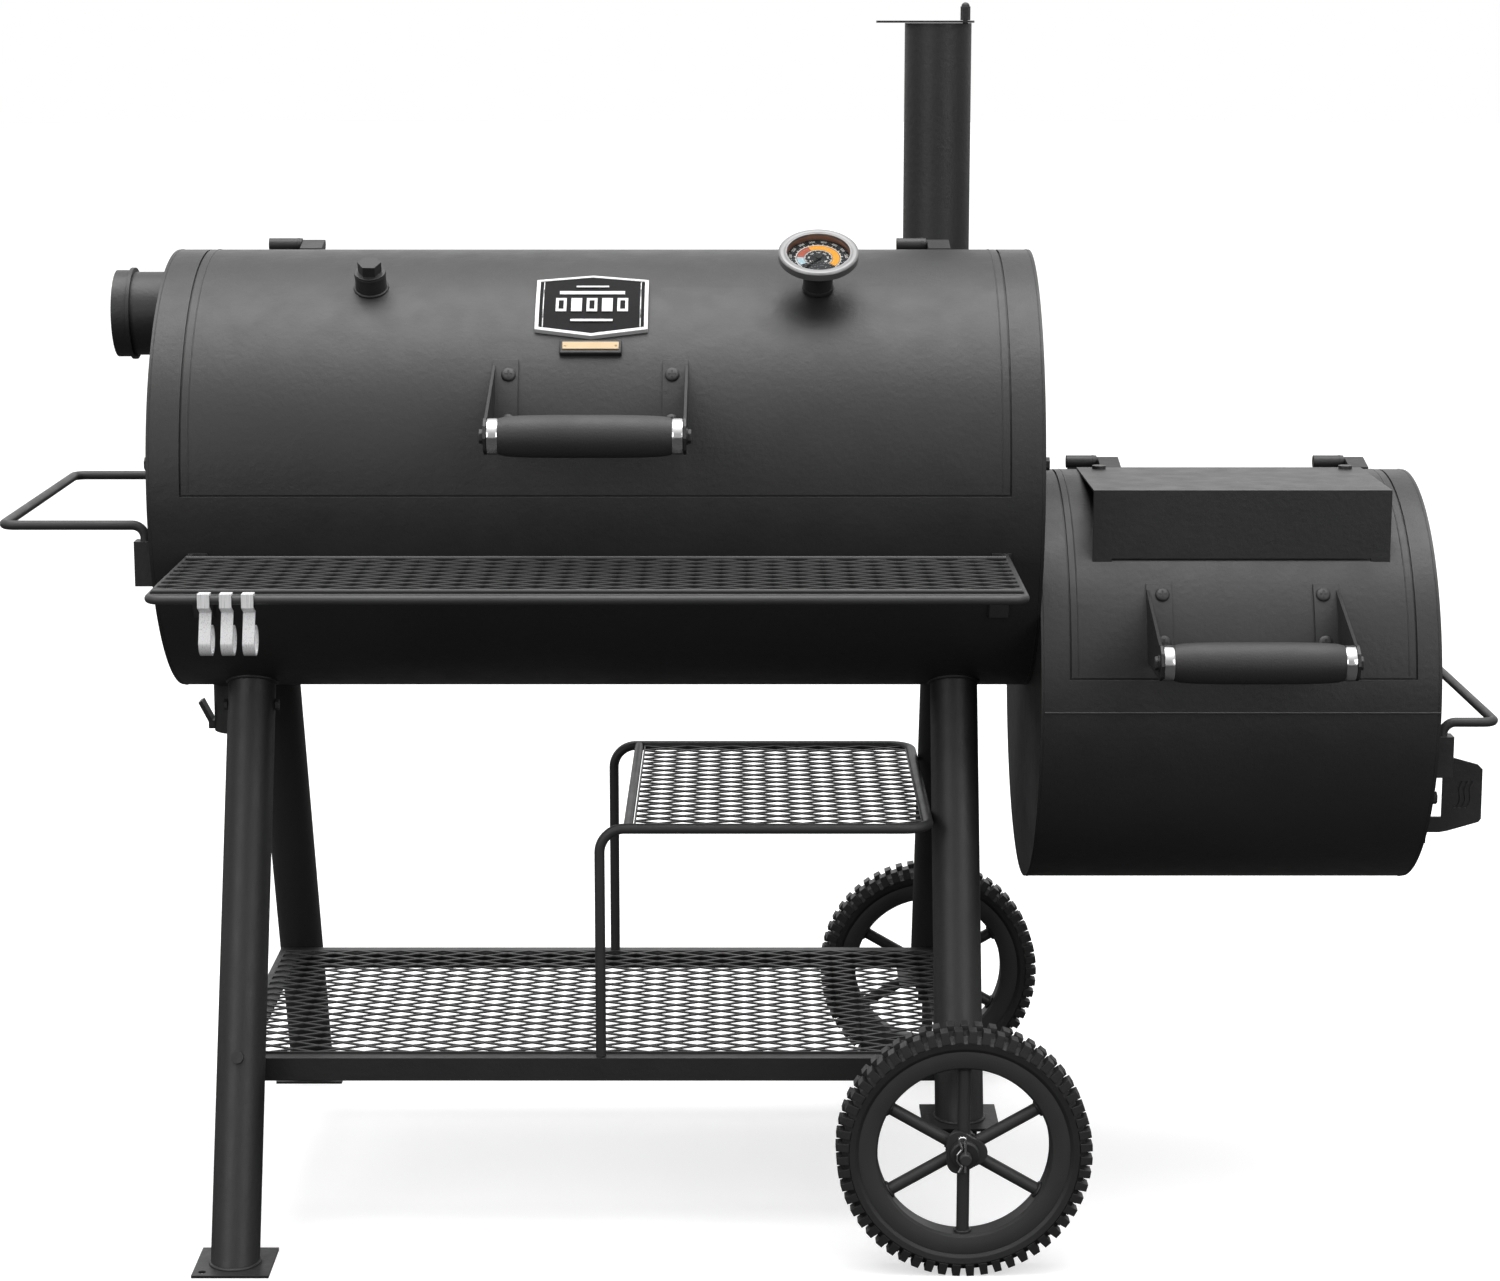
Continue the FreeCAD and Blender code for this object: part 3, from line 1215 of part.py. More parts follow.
hinge_set(
    "firebox_hinge_barrels", "firebox_lid_knuckles", dim("fire_hinge_y"), dim("fire_hinge_z"), FIRE_R, FIRE_Z,
    dim("firelid_rear"), ((362.4, 395.9), (638.2, 671.3)), ((396.3, 420.1), (671.7, 693.7)),
)
lid_handle("firebox", 424.2, 622.3, FIRE_R, FIRE_Z, -311.5, 639.0, (32.0, 18.9))
heat_shield()
side_door()

doc.recompute()

pieces = []
for item in doc.Objects:
    for flag in ("Invalid", "Error"):
        if flag in item.State:
            raise RuntimeError(f"{item.Label} is {flag}")
    if item.TypeId == "PartDesign::Body" or item.TypeId == "Part::Feature":
        if item.Shape.isNull() or not item.Shape.isValid():
            raise RuntimeError(f"{item.Label} has no valid shape")
        pieces.append(item)

for piece in pieces:
    piece.Shape.exportStep(f"parts/{piece.Label}.step")

whole = FreeCAD.BoundBox()
for piece in pieces:
    whole.add(piece.Shape.BoundBox)
print(len(pieces), "pieces", whole)
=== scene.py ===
import math

import bpy
from mathutils import Matrix, Vector


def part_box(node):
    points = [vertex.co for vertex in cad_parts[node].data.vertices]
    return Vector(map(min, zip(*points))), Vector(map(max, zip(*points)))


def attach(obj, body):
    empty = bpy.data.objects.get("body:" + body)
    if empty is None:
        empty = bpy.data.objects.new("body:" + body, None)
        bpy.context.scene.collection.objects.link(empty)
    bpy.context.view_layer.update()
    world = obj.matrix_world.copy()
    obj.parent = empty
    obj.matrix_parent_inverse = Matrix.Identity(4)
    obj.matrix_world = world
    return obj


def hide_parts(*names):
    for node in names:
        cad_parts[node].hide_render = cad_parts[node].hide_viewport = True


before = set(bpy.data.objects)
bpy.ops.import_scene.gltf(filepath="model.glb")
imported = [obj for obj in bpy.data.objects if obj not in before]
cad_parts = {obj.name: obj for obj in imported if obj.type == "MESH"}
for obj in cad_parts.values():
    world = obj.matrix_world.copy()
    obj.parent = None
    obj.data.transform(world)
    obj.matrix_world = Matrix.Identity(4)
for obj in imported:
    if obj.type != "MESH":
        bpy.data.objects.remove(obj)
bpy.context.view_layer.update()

# Looks for the barrel charcoal grill. Distances below are in millimetres in the grill's working frame: X 0
# under the camera, Y 0 on the barrel's axis, Z 0 on the ground. at() turns them into metres in the scene.

END_LOW, END_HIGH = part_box("barrel_end_left")
LEFT_END_MM = -610.0
SHIFT_X = END_LOW.x - LEFT_END_MM / 1000
SHIFT_Y = (END_LOW.y + END_HIGH.y) / 2
BARREL_R = (END_HIGH.z - END_LOW.z) * 500
BARREL_Z = (END_HIGH.z + END_LOW.z) * 500
FIRE_LOW, FIRE_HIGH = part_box("firebox_end_right")
FIRE_R = (FIRE_HIGH.z - FIRE_LOW.z) * 500
FIRE_Z = (FIRE_HIGH.z + FIRE_LOW.z) * 500
FULL_TURN = 2 * math.pi
X_AXIS = Vector((1, 0, 0))
Y_AXIS = Vector((0, 1, 0))
Z_AXIS = Vector((0, 0, 1))


def at(x, y, z):
    return Vector((x / 1000 + SHIFT_X, y / 1000 + SHIFT_Y, z / 1000))


# ---------------------------------------------------------------- materials

def new_material(name):
    material = bpy.data.materials.new(name)
    material.use_nodes = True
    tree = material.node_tree
    shader = tree.nodes["Principled BSDF"]
    return material, tree, shader


def noise(tree, scale, detail=3.0, rough=0.5):
    """Noise on object coordinates, which are metres in the grill's own frame."""
    where = tree.nodes.new("ShaderNodeTexCoord")
    node = tree.nodes.new("ShaderNodeTexNoise")
    node.inputs["Scale"].default_value = scale
    node.inputs["Detail"].default_value = detail
    node.inputs["Roughness"].default_value = rough
    tree.links.new(where.outputs["Object"], node.inputs["Vector"])
    return node.outputs["Fac"]


def ramp(tree, source, low, high, start=0.3, end=0.7):
    """A colour ramp between two greys or colours."""
    node = tree.nodes.new("ShaderNodeValToRGB")
    node.color_ramp.elements[0].position = start
    node.color_ramp.elements[1].position = end
    for element, value in zip(node.color_ramp.elements, (low, high)):
        colour = value if isinstance(value, tuple) else (value, value, value)
        element.color = (*colour, 1)
    tree.links.new(source, node.inputs["Fac"])
    return node.outputs["Color"]


def bump(tree, source, strength, distance, under=None):
    """A bump from source, laid over another normal where one is given."""
    node = tree.nodes.new("ShaderNodeBump")
    node.inputs["Strength"].default_value = strength
    node.inputs["Distance"].default_value = distance
    tree.links.new(source, node.inputs["Height"])
    if under is not None:
        tree.links.new(under, node.inputs["Normal"])
    return node.outputs["Normal"]


def rounded(tree, radius):
    node = tree.nodes.new("ShaderNodeBevel")
    node.samples = 4
    node.inputs["Radius"].default_value = radius
    return node.outputs["Normal"]


def finish_material(
    name, dark, light, rough_low, rough_high, grain, depth, metallic=0.0, edge=0.0007, fine=1400.0,
):
    """A painted or plated surface: blotches of colour, uneven sheen, a fine peel and softened edges."""
    material, tree, shader = new_material(name)
    tree.links.new(ramp(tree, noise(tree, 7.0, 4.0), dark, light), shader.inputs["Base Color"])
    tree.links.new(ramp(tree, noise(tree, 38.0, 5.0), rough_low, rough_high), shader.inputs["Roughness"])
    shader.inputs["Metallic"].default_value = metallic
    normal = rounded(tree, edge) if edge else None
    normal = bump(tree, noise(tree, grain, 4.0, 0.6), 0.55, depth, normal)
    normal = bump(tree, noise(tree, fine, 2.0), 0.35, depth * 0.4, normal)
    tree.links.new(normal, shader.inputs["Normal"])
    return material


def brushed(name, colour, rough, along, metallic):
    """Drawn metal: fine streaks along one axis."""
    material, tree, shader = new_material(name)
    where = tree.nodes.new("ShaderNodeTexCoord")
    stretch = tree.nodes.new("ShaderNodeMapping")
    stretch.inputs["Scale"].default_value = [40.0 if k == along else 1500.0 for k in range(3)]
    tree.links.new(where.outputs["Object"], stretch.inputs["Vector"])
    streak = tree.nodes.new("ShaderNodeTexNoise")
    streak.inputs["Scale"].default_value = 1.0
    streak.inputs["Detail"].default_value = 3.0
    tree.links.new(stretch.outputs["Vector"], streak.inputs["Vector"])
    low = tuple(c * 0.82 for c in colour)
    fac = streak.outputs["Fac"]
    tree.links.new(ramp(tree, fac, low, colour), shader.inputs["Base Color"])
    tree.links.new(ramp(tree, fac, rough - 0.06, rough + 0.08), shader.inputs["Roughness"])
    shader.inputs["Metallic"].default_value = metallic
    normal = bump(tree, fac, 0.12, 0.00015, rounded(tree, 0.0005))
    tree.links.new(normal, shader.inputs["Normal"])
    return material


def flat_print(name, colour, rough=0.45):
    """Printed ink on the dial, with a trace of unevenness."""
    material, tree, shader = new_material(name)
    low = tuple(c * 0.9 for c in colour)
    tree.links.new(ramp(tree, noise(tree, 260.0), low, colour), shader.inputs["Base Color"])
    tree.links.new(ramp(tree, noise(tree, 700.0), rough - 0.05, rough + 0.05), shader.inputs["Roughness"])
    shader.inputs["Specular IOR Level"].default_value = 0.12
    return material


SATIN = finish_material("satin_black", 0.0175, 0.0225, 0.42, 0.50, 150.0, 0.00070)
STEEL_BLACK = finish_material("bare_black", 0.014, 0.020, 0.42, 0.56, 320.0, 0.00030)
ROD_BLACK = finish_material("rod_black", 0.030, 0.038, 0.46, 0.56, 420.0, 0.00020)
GRIP = finish_material("grip_black", 0.022, 0.028, 0.52, 0.62, 480.0, 0.00055, edge=0.0)
RUBBER = finish_material("tyre_black", 0.014, 0.019, 0.48, 0.60, 260.0, 0.00040, edge=0.0012)
CHROME = finish_material("chrome", 0.70, 0.80, 0.12, 0.20, 500.0, 0.00003, metallic=1.0)
# Tool hooks: a near-white, barely metallic base colour paints in the bright reflection of polished steel.
# The streaks along one axis are the steel's real drawn grain.
PAINTED_SHEEN_STEEL = brushed("bright_steel", (0.96, 0.96, 0.97), 0.30, 2, 0.15)
BEZEL = finish_material("bezel_silver", 0.20, 0.24, 0.34, 0.42, 600.0, 0.00004, metallic=0.75)
ZINC = finish_material("dark_zinc", 0.10, 0.16, 0.26, 0.36, 300.0, 0.00008, metallic=1.0)
BADGE_EDGE = finish_material("badge_silver", 0.58, 0.66, 0.40, 0.50, 500.0, 0.00004, metallic=0.1)
BADGE_FIELD = flat_print("badge_field", (0.012, 0.012, 0.013), 0.7)
BRASS = finish_material(
    "brass", (0.34, 0.25, 0.15), (0.41, 0.31, 0.19), 0.34, 0.44, 420.0, 0.00005, metallic=0.5,
)
DIAL_BLACK = flat_print("dial_black", (0.010, 0.012, 0.014))
DIAL_WHITE = flat_print("dial_white", (0.60, 0.60, 0.58))
DIAL_BLUE = flat_print("dial_blue", (0.29, 0.40, 0.45))
DIAL_RED = flat_print("dial_red", (0.29, 0.065, 0.038))
DIAL_AMBER = flat_print("dial_amber", (0.66, 0.26, 0.02))
COPPER = finish_material(
    "bezel_copper", (0.42, 0.22, 0.15), (0.50, 0.27, 0.19), 0.32, 0.42, 500.0, 0.00004, metallic=0.7,
)
NEEDLE_BLACK = flat_print("needle_black", (0.020, 0.021, 0.022))


def glass_material():
    """Clear glass that hardly bends light, so that the dial behind it keeps its place."""
    material, tree, shader = new_material("clear_glass")
    tree.links.new(ramp(tree, noise(tree, 30.0), 0.01, 0.03), shader.inputs["Roughness"])
    shader.inputs["Base Color"].default_value = (1, 1, 1, 1)
    shader.inputs["Transmission Weight"].default_value = 1.0
    shader.inputs["IOR"].default_value = 1.04
    return material


GLASS = glass_material()


# ---------------------------------------------------------------- shading of the CAD nodes

def smoothing_group(limit_deg):
    """Joins split vertices and shades smooth except where faces meet sharply."""
    group = bpy.data.node_groups.new("smooth_by_angle", "GeometryNodeTree")
    group.interface.new_socket("Geometry", in_out="INPUT", socket_type="NodeSocketGeometry")
    group.interface.new_socket("Geometry", in_out="OUTPUT", socket_type="NodeSocketGeometry")
    start = group.nodes.new("NodeGroupInput")
    end = group.nodes.new("NodeGroupOutput")
    drop = group.nodes.new("GeometryNodeRemoveAttribute")
    drop.inputs["Name"].default_value = "custom_normal"
    merge = group.nodes.new("GeometryNodeMergeByDistance")
    merge.inputs["Distance"].default_value = 0.000005
    faces = group.nodes.new("GeometryNodeSetShadeSmooth")
    faces.domain = "FACE"
    angle = group.nodes.new("GeometryNodeInputMeshEdgeAngle")
    sharp = group.nodes.new("FunctionNodeCompare")
    sharp.operation = "GREATER_THAN"
    sharp.inputs[1].default_value = math.radians(limit_deg)
    edges = group.nodes.new("GeometryNodeSetShadeSmooth")
    edges.domain = "EDGE"
    edges.inputs["Shade Smooth"].default_value = False
    link = group.links.new
    link(start.outputs[0], drop.inputs["Geometry"])
    link(drop.outputs["Geometry"], merge.inputs["Geometry"])
    link(merge.outputs["Geometry"], faces.inputs["Geometry"])
    link(faces.outputs["Geometry"], edges.inputs["Geometry"])
    link(angle.outputs["Unsigned Angle"], sharp.inputs[0])
    link(sharp.outputs["Result"], edges.inputs["Selection"])
    link(edges.outputs["Geometry"], end.inputs[0])
    return group


SMOOTH = smoothing_group(32.0)
NODE_LOOK = {
    "thermometer_case": BEZEL, "thermometer_dial": DIAL_BLACK, "thermometer_glass": GLASS,
    "thermometer_needle": NEEDLE_BLACK, "tool_hooks": PAINTED_SHEEN_STEEL, "main_handle_grip": GRIP,
    "firebox_handle_grip": GRIP, "main_handle_hardware": CHROME, "firebox_handle_hardware": CHROME,
    "axle": ZINC, "cooking_grate_left": STEEL_BLACK, "cooking_grate_right": STEEL_BLACK,
    "charcoal_grate": STEEL_BLACK, "shelf_frame": ROD_BLACK, "shelf_mesh": ROD_BLACK,
    "rack_frame": ROD_BLACK,
    "rack_mesh": ROD_BLACK, "lower_shelf_mesh": ROD_BLACK, "end_handles": ROD_BLACK, "badge": BADGE_FIELD,
    "wheel_front": RUBBER, "wheel_rear": RUBBER,
}


def dress_nodes():
    """Gives every CAD node its material and smooth shading."""
    for name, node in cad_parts.items():
        node.data.materials.clear()
        node.data.materials.append(NODE_LOOK.get(name, SATIN))
        node.modifiers.new("smooth", "NODES").node_group = SMOOTH


dress_nodes()


# ---------------------------------------------------------------- builders for added pieces

def add_mesh(name, verts, faces, material, body, smooth_deg=35.0):
    """A mesh piece riding on a body; verts are Vectors in metres in the grill's frame."""
    mesh = bpy.data.meshes.new(name)
    mesh.from_pydata([tuple(v) for v in verts], [], faces)
    mesh.validate()
    mesh.materials.append(material)
    mesh.shade_smooth()
    mesh.set_sharp_from_angle(angle=math.radians(smooth_deg))
    piece = bpy.data.objects.new(name, mesh)
    bpy.context.scene.collection.objects.link(piece)
    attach(piece, body)
    return piece


def axes_frame(origin, along, across):
    """A frame whose Z lies on along and whose X is as near across as it can be."""
    z_axis = along.normalized()
    x_axis = (across - z_axis * across.dot(z_axis)).normalized()
    y_axis = z_axis.cross(x_axis)
    turn = Matrix((x_axis, y_axis, z_axis)).transposed().to_4x4()
    return Matrix.Translation(origin) @ turn


def lathe(name, profile, place, material, body, segments=72, closed=False, smooth_deg=35.0):
    """Turns a profile of (radius, height) in millimetres about place's Z."""
    verts = []
    faces = []
    rings = []
    for radius, height in profile:
        if radius < 0.001:
            rings.append([len(verts)])
            verts.append(place @ Vector((0, 0, height / 1000)))
            continue
        ring = []
        for k in range(segments):
            angle = FULL_TURN * k / segments
            ring.append(len(verts))
            spot = Vector((radius * math.cos(angle), radius * math.sin(angle), height)) / 1000
            verts.append(place @ spot)
        rings.append(ring)
    pairs = list(zip(rings, rings[1:]))
    if closed:
        pairs.append((rings[-1], rings[0]))
    for low, high in pairs:
        for k in range(segments):
            j = (k + 1) % segments
            if len(low) == 1 and len(high) > 1:
                faces.append((low[0], high[j], high[k]))
            elif len(high) == 1 and len(low) > 1:
                faces.append((low[k], low[j], high[0]))
            elif len(low) > 1 and len(high) > 1:
                faces.append((low[k], low[j], high[j], high[k]))
    return add_mesh(name, verts, faces, material, body, smooth_deg)


def slab(name, outline, low, high, place, material, body, bevel=0.0004, smooth_deg=35.0):
    """An outline of (x, y) millimetres raised from low to high along place's Z, with bevelled edges."""
    count = len(outline)
    verts = [place @ Vector((x / 1000, y / 1000, low / 1000)) for x, y in outline]
    verts += [place @ Vector((x / 1000, y / 1000, high / 1000)) for x, y in outline]
    faces = [tuple(reversed(range(count))), tuple(range(count, 2 * count))]
    for k in range(count):
        j = (k + 1) % count
        faces.append((k, j, count + j, count + k))
    piece = add_mesh(name, verts, faces, material, body, smooth_deg)
    if bevel:
        edge = piece.modifiers.new("edge", "BEVEL")
        edge.width = bevel
        edge.segments = 2
        edge.limit_method = "ANGLE"
        edge.harden_normals = False
    return piece


def ring_slab(name, outer, inner, low, high, place, material, body):
    """A closed band between two outlines with the same number of corners."""
    count = len(outer)
    loops = [(outer, low), (outer, high), (inner, high), (inner, low)]
    verts = []
    for outline, level in loops:
        verts += [place @ Vector((x / 1000, y / 1000, level / 1000)) for x, y in outline]
    faces = []
    for k in range(4):
        for i in range(count):
            j = (i + 1) % count
            a, b = k * count, ((k + 1) % 4) * count
            faces.append((a + i, a + j, b + j, b + i))
    return add_mesh(name, verts, faces, material, body)


def round_path(points, bend, steps=8):
    """The points with every inner corner replaced by an arc; all in millimetres."""
    points = [Vector(p) for p in points]
    path = [points[0]]
    for before, corner, after in zip(points, points[1:], points[2:]):
        back = (before - corner).normalized()
        ahead = (after - corner).normalized()
        half = back.angle(ahead) / 2
        reach = bend / math.tan(half)
        centre = corner + (back + ahead).normalized() * (bend / math.sin(half))
        start = corner + back * reach - centre
        end = corner + ahead * reach - centre
        for k in range(steps + 1):
            share = k / steps
            direction = start.normalized().slerp(end.normalized(), share)
            path.append(centre + direction * bend)
    path.append(points[-1])
    return path


def swept(name, path, radii, material, body, segments, smooth_deg, closed=False):
    """A round bar along millimetre points, with a radius for each of them, capped at both ends."""
    verts = []
    faces = []
    last = len(path) - 1
    side = None
    for i, (point, radius) in enumerate(zip(path, radii)):
        ahead = path[min(i + 1, last)] - path[max(i - 1, 0)]
        if closed and i in (0, last):
            ahead = path[1] - path[-2]
        ahead.normalize()
        if side is None:
            side = ahead.orthogonal().normalized()
        side = (side - ahead * side.dot(ahead)).normalized()
        other = ahead.cross(side)
        for k in range(segments):
            angle = FULL_TURN * k / segments
            spot = point + (side * math.cos(angle) + other * math.sin(angle)) * radius
            verts.append(at(*spot))
    for i in range(last):
        for k in range(segments):
            j = (k + 1) % segments
            a, b = i * segments, (i + 1) * segments
            faces.append((a + k, a + j, b + j, b + k))
    faces.append(tuple(reversed(range(segments))))
    faces.append(tuple(range(last * segments, (last + 1) * segments)))
    return add_mesh(name, verts, faces, material, body, smooth_deg)


def tube_along(name, path, radius, material, body, segments=16):
    """A bar of one radius along a path of millimetre points."""
    return swept(name, path, [radius] * len(path), material, body, segments, 50.0)


def radial_frame(x, angle_deg, radius, centre_z):
    """A frame standing on a drum: Z out of the drum, X along the barrel, Y up its surface."""
    angle = math.radians(angle_deg)
    out = Vector((0, -math.cos(angle), math.sin(angle)))
    foot = at(x, -radius * math.cos(angle), centre_z + radius * math.sin(angle))
    return axes_frame(foot, out, X_AXIS)


def drum_point(x, angle_deg, radius, centre_z):
    """A point on a drum in millimetres; 0 degrees faces the cook and 90 is the top."""
    angle = math.radians(angle_deg)
    return Vector((x, -radius * math.cos(angle), centre_z + radius * math.sin(angle)))


def weld_bead(name, path, size, body, closed=False):
    """A rippled fillet of weld metal along a path, painted over."""
    fine = []
    for start, end in zip(path, path[1:]):
        steps = max(1, int((end - start).length / 2.2))
        fine += [start.lerp(end, k / steps) for k in range(steps)]
    fine.append(path[-1])
    radii = [size * (1 + 0.10 * math.sin(i * 2.1) + 0.06 * math.sin(i * 0.61)) for i in range(len(fine))]
    return swept(name, fine, radii, SATIN, body, 8, 60.0, closed)


# ---------------------------------------------------------------- handles

GRIPS = (
    ("main", "main_lid", -254.3, -56.1, -330.0, 872.0, BARREL_R, BARREL_Z, (31.0, 19.0)),
    ("firebox", "firebox_lid", 424.2, 622.3, -311.5, 639.0, FIRE_R, FIRE_Z, (32.0, 18.9)),
)
CHEEK = 3.0
FERRULE = 11.5
FERRULE_CUP = (
    (0, 0), (16.9, 0), (17.9, 0.8), (18.35, 2.4), (18.35, 9.3), (18.0, 10.6), (17.4, FERRULE), (0, FERRULE),
)
SCREW_INSET = 15.1
BOLT_ACROSS = 13.0
BOLT_TALL = 5.0


def pan_screw(name, place, material, body, radius=7.6):
    """A pan head with a cross recess, standing on place."""
    profile = [
        (0, 0.0), (radius, 0.0), (radius, 0.9), (radius * 0.93, 2.0), (radius * 0.72, 3.0),
        (radius * 0.42, 3.5), (0, 3.6),
    ]
    head = lathe(name, profile, place, material, body, 40)
    arm, half = radius * 0.52, radius * 0.11
    cross = [
        (-arm, -half), (-half, -half), (-half, -arm), (half, -arm), (half, -half), (arm, -half),
        (arm, half), (half, half), (half, arm), (-half, arm), (-half, half), (-arm, half),
    ]
    slab(name + "_recess", cross, 3.0, 3.75, place, STEEL_BLACK, body, bevel=0.0)
    return head


def hex_outline(across):
    corner = across / math.sqrt(3)
    turns = [math.radians(60 * k) for k in range(6)]
    return [(corner * math.cos(turn), corner * math.sin(turn)) for turn in turns]


def hex_head(name, place, across, thick, material, body):
    """A hexagon head with its corners turned off, on a thin washer face."""
    slab(name, hex_outline(across), 0.8, thick, place, material, body, bevel=0.0009)
    face = across * 0.66
    lathe(name + "_washer", [(0, 0), (face, 0), (face, 1.2), (0, 1.2)], place, material, body, 36)


def grip_profile(length):
    """Square shoulders with a long swell between them."""
    steps = 28
    profile = [(0, 0), (17.2, 0)]
    for k in range(steps + 1):
        share = 2.0 * k / steps - 1.0
        swell = 18.2 + 3.2 * math.sqrt(max(0.0, 1.0 - abs(share) ** 3.2))
        profile.append((swell, 0.4 + (length - 0.8) * k / steps))
    return profile + [(17.2, length), (0, length)]


def dress_handles():
    """Each lid's barrel grip with its two ferrules, end bolts and the pan screws of its brackets."""
    for prefix, body, left, right, grip_y, grip_z, radius, centre_z, angles in GRIPS:
        inner_left = left + CHEEK / 2
        inner_right = right - CHEEK / 2
        start = inner_left + FERRULE
        length = inner_right - FERRULE - start
        place = axes_frame(at(start, grip_y, grip_z), X_AXIS, Z_AXIS)
        grip = lathe(prefix + "_grip", grip_profile(length), place, GRIP, body, 96)
        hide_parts(prefix + "_handle_grip")
        first = None
        for side, x, way in (("l", inner_left, 1), ("r", inner_right, -1)):
            cap_place = axes_frame(at(x, grip_y, grip_z), X_AXIS * way, Z_AXIS)
            ferrule = lathe(f"{prefix}_ferrule_{side}", FERRULE_CUP, cap_place, CHROME, body, 96)
            first = first or ferrule
            bolt_place = axes_frame(at(x - way * CHEEK, grip_y, grip_z), X_AXIS * -way, Z_AXIS)
            hex_head(f"{prefix}_grip_bolt_{side}", bolt_place, BOLT_ACROSS, BOLT_TALL, ROD_BLACK, body)
            screw_x = (left + SCREW_INSET) if way == 1 else (right - SCREW_INSET)
            for row, angle in enumerate(angles):
                screw_place = radial_frame(screw_x, angle, radius + CHEEK, centre_z)
                pan_screw(f"{prefix}_screw_{side}{row}", screw_place, ROD_BLACK, body)
        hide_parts(prefix + "_handle_hardware")


dress_handles()


# ---------------------------------------------------------------- badge

BADGE_X = -155.5
BADGE_ANGLE = 52.8
PLAQUE_ANGLE = 38.6
BADGE_THICK = 5.0
MARK_LOW = 4.0
MARK_HIGH = 4.8
RULE_HIGH = 4.75
MARK_PITCH = 16.0
MARK_LIFT = -3.0


def hexagon(half_w, half_h, peak):
    side = half_h - peak
    return [(0, -half_h), (half_w, -side), (half_w, side), (0, half_h), (-half_w, side), (-half_w, -side)]


def rolled_outline(outline, step=3.0):
    """Extra corners along long edges so that the outline can follow the drum."""
    dense = []
    for k, (x0, y0) in enumerate(outline):
        x1, y1 = outline[(k + 1) % len(outline)]
        count = max(1, int(math.hypot(x1 - x0, y1 - y0) / step))
        for i in range(count):
            dense.append((x0 + (x1 - x0) * i / count, y0 + (y1 - y0) * i / count))
    return dense


def rolled_band(name, outer, inner, low, high, x, angle_deg, material, body):
    """A band between two outlines, wrapped on the main lid between two heights above it."""
    outer = rolled_outline(outer)
    count = len(outer)
    verts = []
    loops = [(outer, low), (outer, high)]
    if inner is not None:
        scale_x = max(p[0] for p in inner) / max(p[0] for p in outer)
        scale_y = max(p[1] for p in inner) / max(p[1] for p in outer)
        scaled = [(px * scale_x, py * scale_y) for px, py in outer]
        loops += [(scaled, high), (scaled, low)]
    for outline, level in loops:
        for px, py in outline:
            turn = angle_deg + math.degrees(py / (BARREL_R + level))
            verts.append(at(*drum_point(x + px, turn, BARREL_R + level, BARREL_Z)))
    faces = []
    sets = len(loops)
    for k in range(sets if inner is not None else sets - 1):
        for i in range(count):
            j = (i + 1) % count
            a, b = k * count, ((k + 1) % sets) * count
            faces.append((a + i, a + j, b + j, b + i))
    if inner is None:
        centre_low = len(verts)
        verts.append(at(*drum_point(x, angle_deg, BARREL_R + low, BARREL_Z)))
        verts.append(at(*drum_point(x, angle_deg, BARREL_R + high, BARREL_Z)))
        for i in range(count):
            j = (i + 1) % count
            faces.append((centre_low, j, i))
            faces.append((centre_low + 1, count + i, count + j))
    return add_mesh(name, verts, faces, material, body)


def box_outline(x0, x1, y0, y1):
    return [(x0, y0), (x1, y0), (x1, y1), (x0, y1)]


def badge_bar(k, half_w, lift, half_h):
    """A plain bright bar, lifted from the badge's middle along the drum."""
    turn = BADGE_ANGLE + math.degrees(lift / BARREL_R)
    bar = box_outline(-half_w, half_w, -half_h, half_h)
    rolled_band(f"badge_bar_{k}", bar, None, MARK_LOW, MARK_HIGH, BADGE_X, turn, BADGE_EDGE, "main_lid")


def badge_marks():
    """A row of five plain blocks, open and solid by turns."""
    turn = BADGE_ANGLE + math.degrees(MARK_LIFT / BARREL_R)
    outer = box_outline(-5.6, 5.6, -10.0, 10.0)
    for i in range(5):
        mark_x = BADGE_X + MARK_PITCH * (i - 2)
        inner = None if i % 2 else box_outline(-2.6, 2.6, -6.5, 6.5)
        name = f"badge_mark_{i}"
        rolled_band(name, outer, inner, MARK_LOW, MARK_HIGH, mark_x, turn, BADGE_EDGE, "main_lid")


def dress_badge():
    """A plate with a bright rim, two side rules, plain bars and blocks, and a blank brass strip below."""
    body = "main_lid"
    spot = (BADGE_X, BADGE_ANGLE)
    field = rolled_band("badge_field", hexagon(56.6, 45.1, 9.0), None, 0.1, 4.3, *spot, BADGE_FIELD, body)
    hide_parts("badge")
    rim_outer = hexagon(58.5, 47.0, 9.0)
    rim_inner = hexagon(54.6, 43.4, 8.5)
    rim = rolled_band("badge_rim", rim_outer, rim_inner, 0.1, BADGE_THICK, *spot, BADGE_EDGE, body)
    for side in (-1, 1):
        rule = box_outline(-0.55, 0.55, -34.5, 34.5)
        rule_x = BADGE_X + side * 50.6
        name = f"badge_rule_{side + 1}"
        rolled_band(name, rule, None, MARK_LOW, RULE_HIGH, rule_x, BADGE_ANGLE, BADGE_EDGE, body)
    badge_bar(0, 17.0, 26.0, 1.3)
    badge_bar(1, 34.0, 15.5, 2.6)
    badge_marks()
    badge_bar(3, 22.0, -25.0, 1.5)
    holder = radial_frame(BADGE_X, PLAQUE_ANGLE, BARREL_R, BARREL_Z)
    slab("plaque_holder", box_outline(-32, 32, -8.4, 8.0), -1.5, 5.6, holder, SATIN, body, bevel=0.0012)
    slab("plaque", box_outline(-29.3, 29.3, -4.2, 5.2), 5.2, 6.6, holder, BRASS, body, bevel=0.0006)
    for side in (-1, 1):
        rivet = holder @ Matrix.Translation(Vector((side * 0.0262, 0.0005, 0.0066)))
        lathe(f"plaque_rivet_{side + 1}", [(0, 0), (1.3, 0), (1.1, 0.4), (0, 0.6)], rivet, BRASS, body, 16)


dress_badge()


# ---------------------------------------------------------------- thermometer

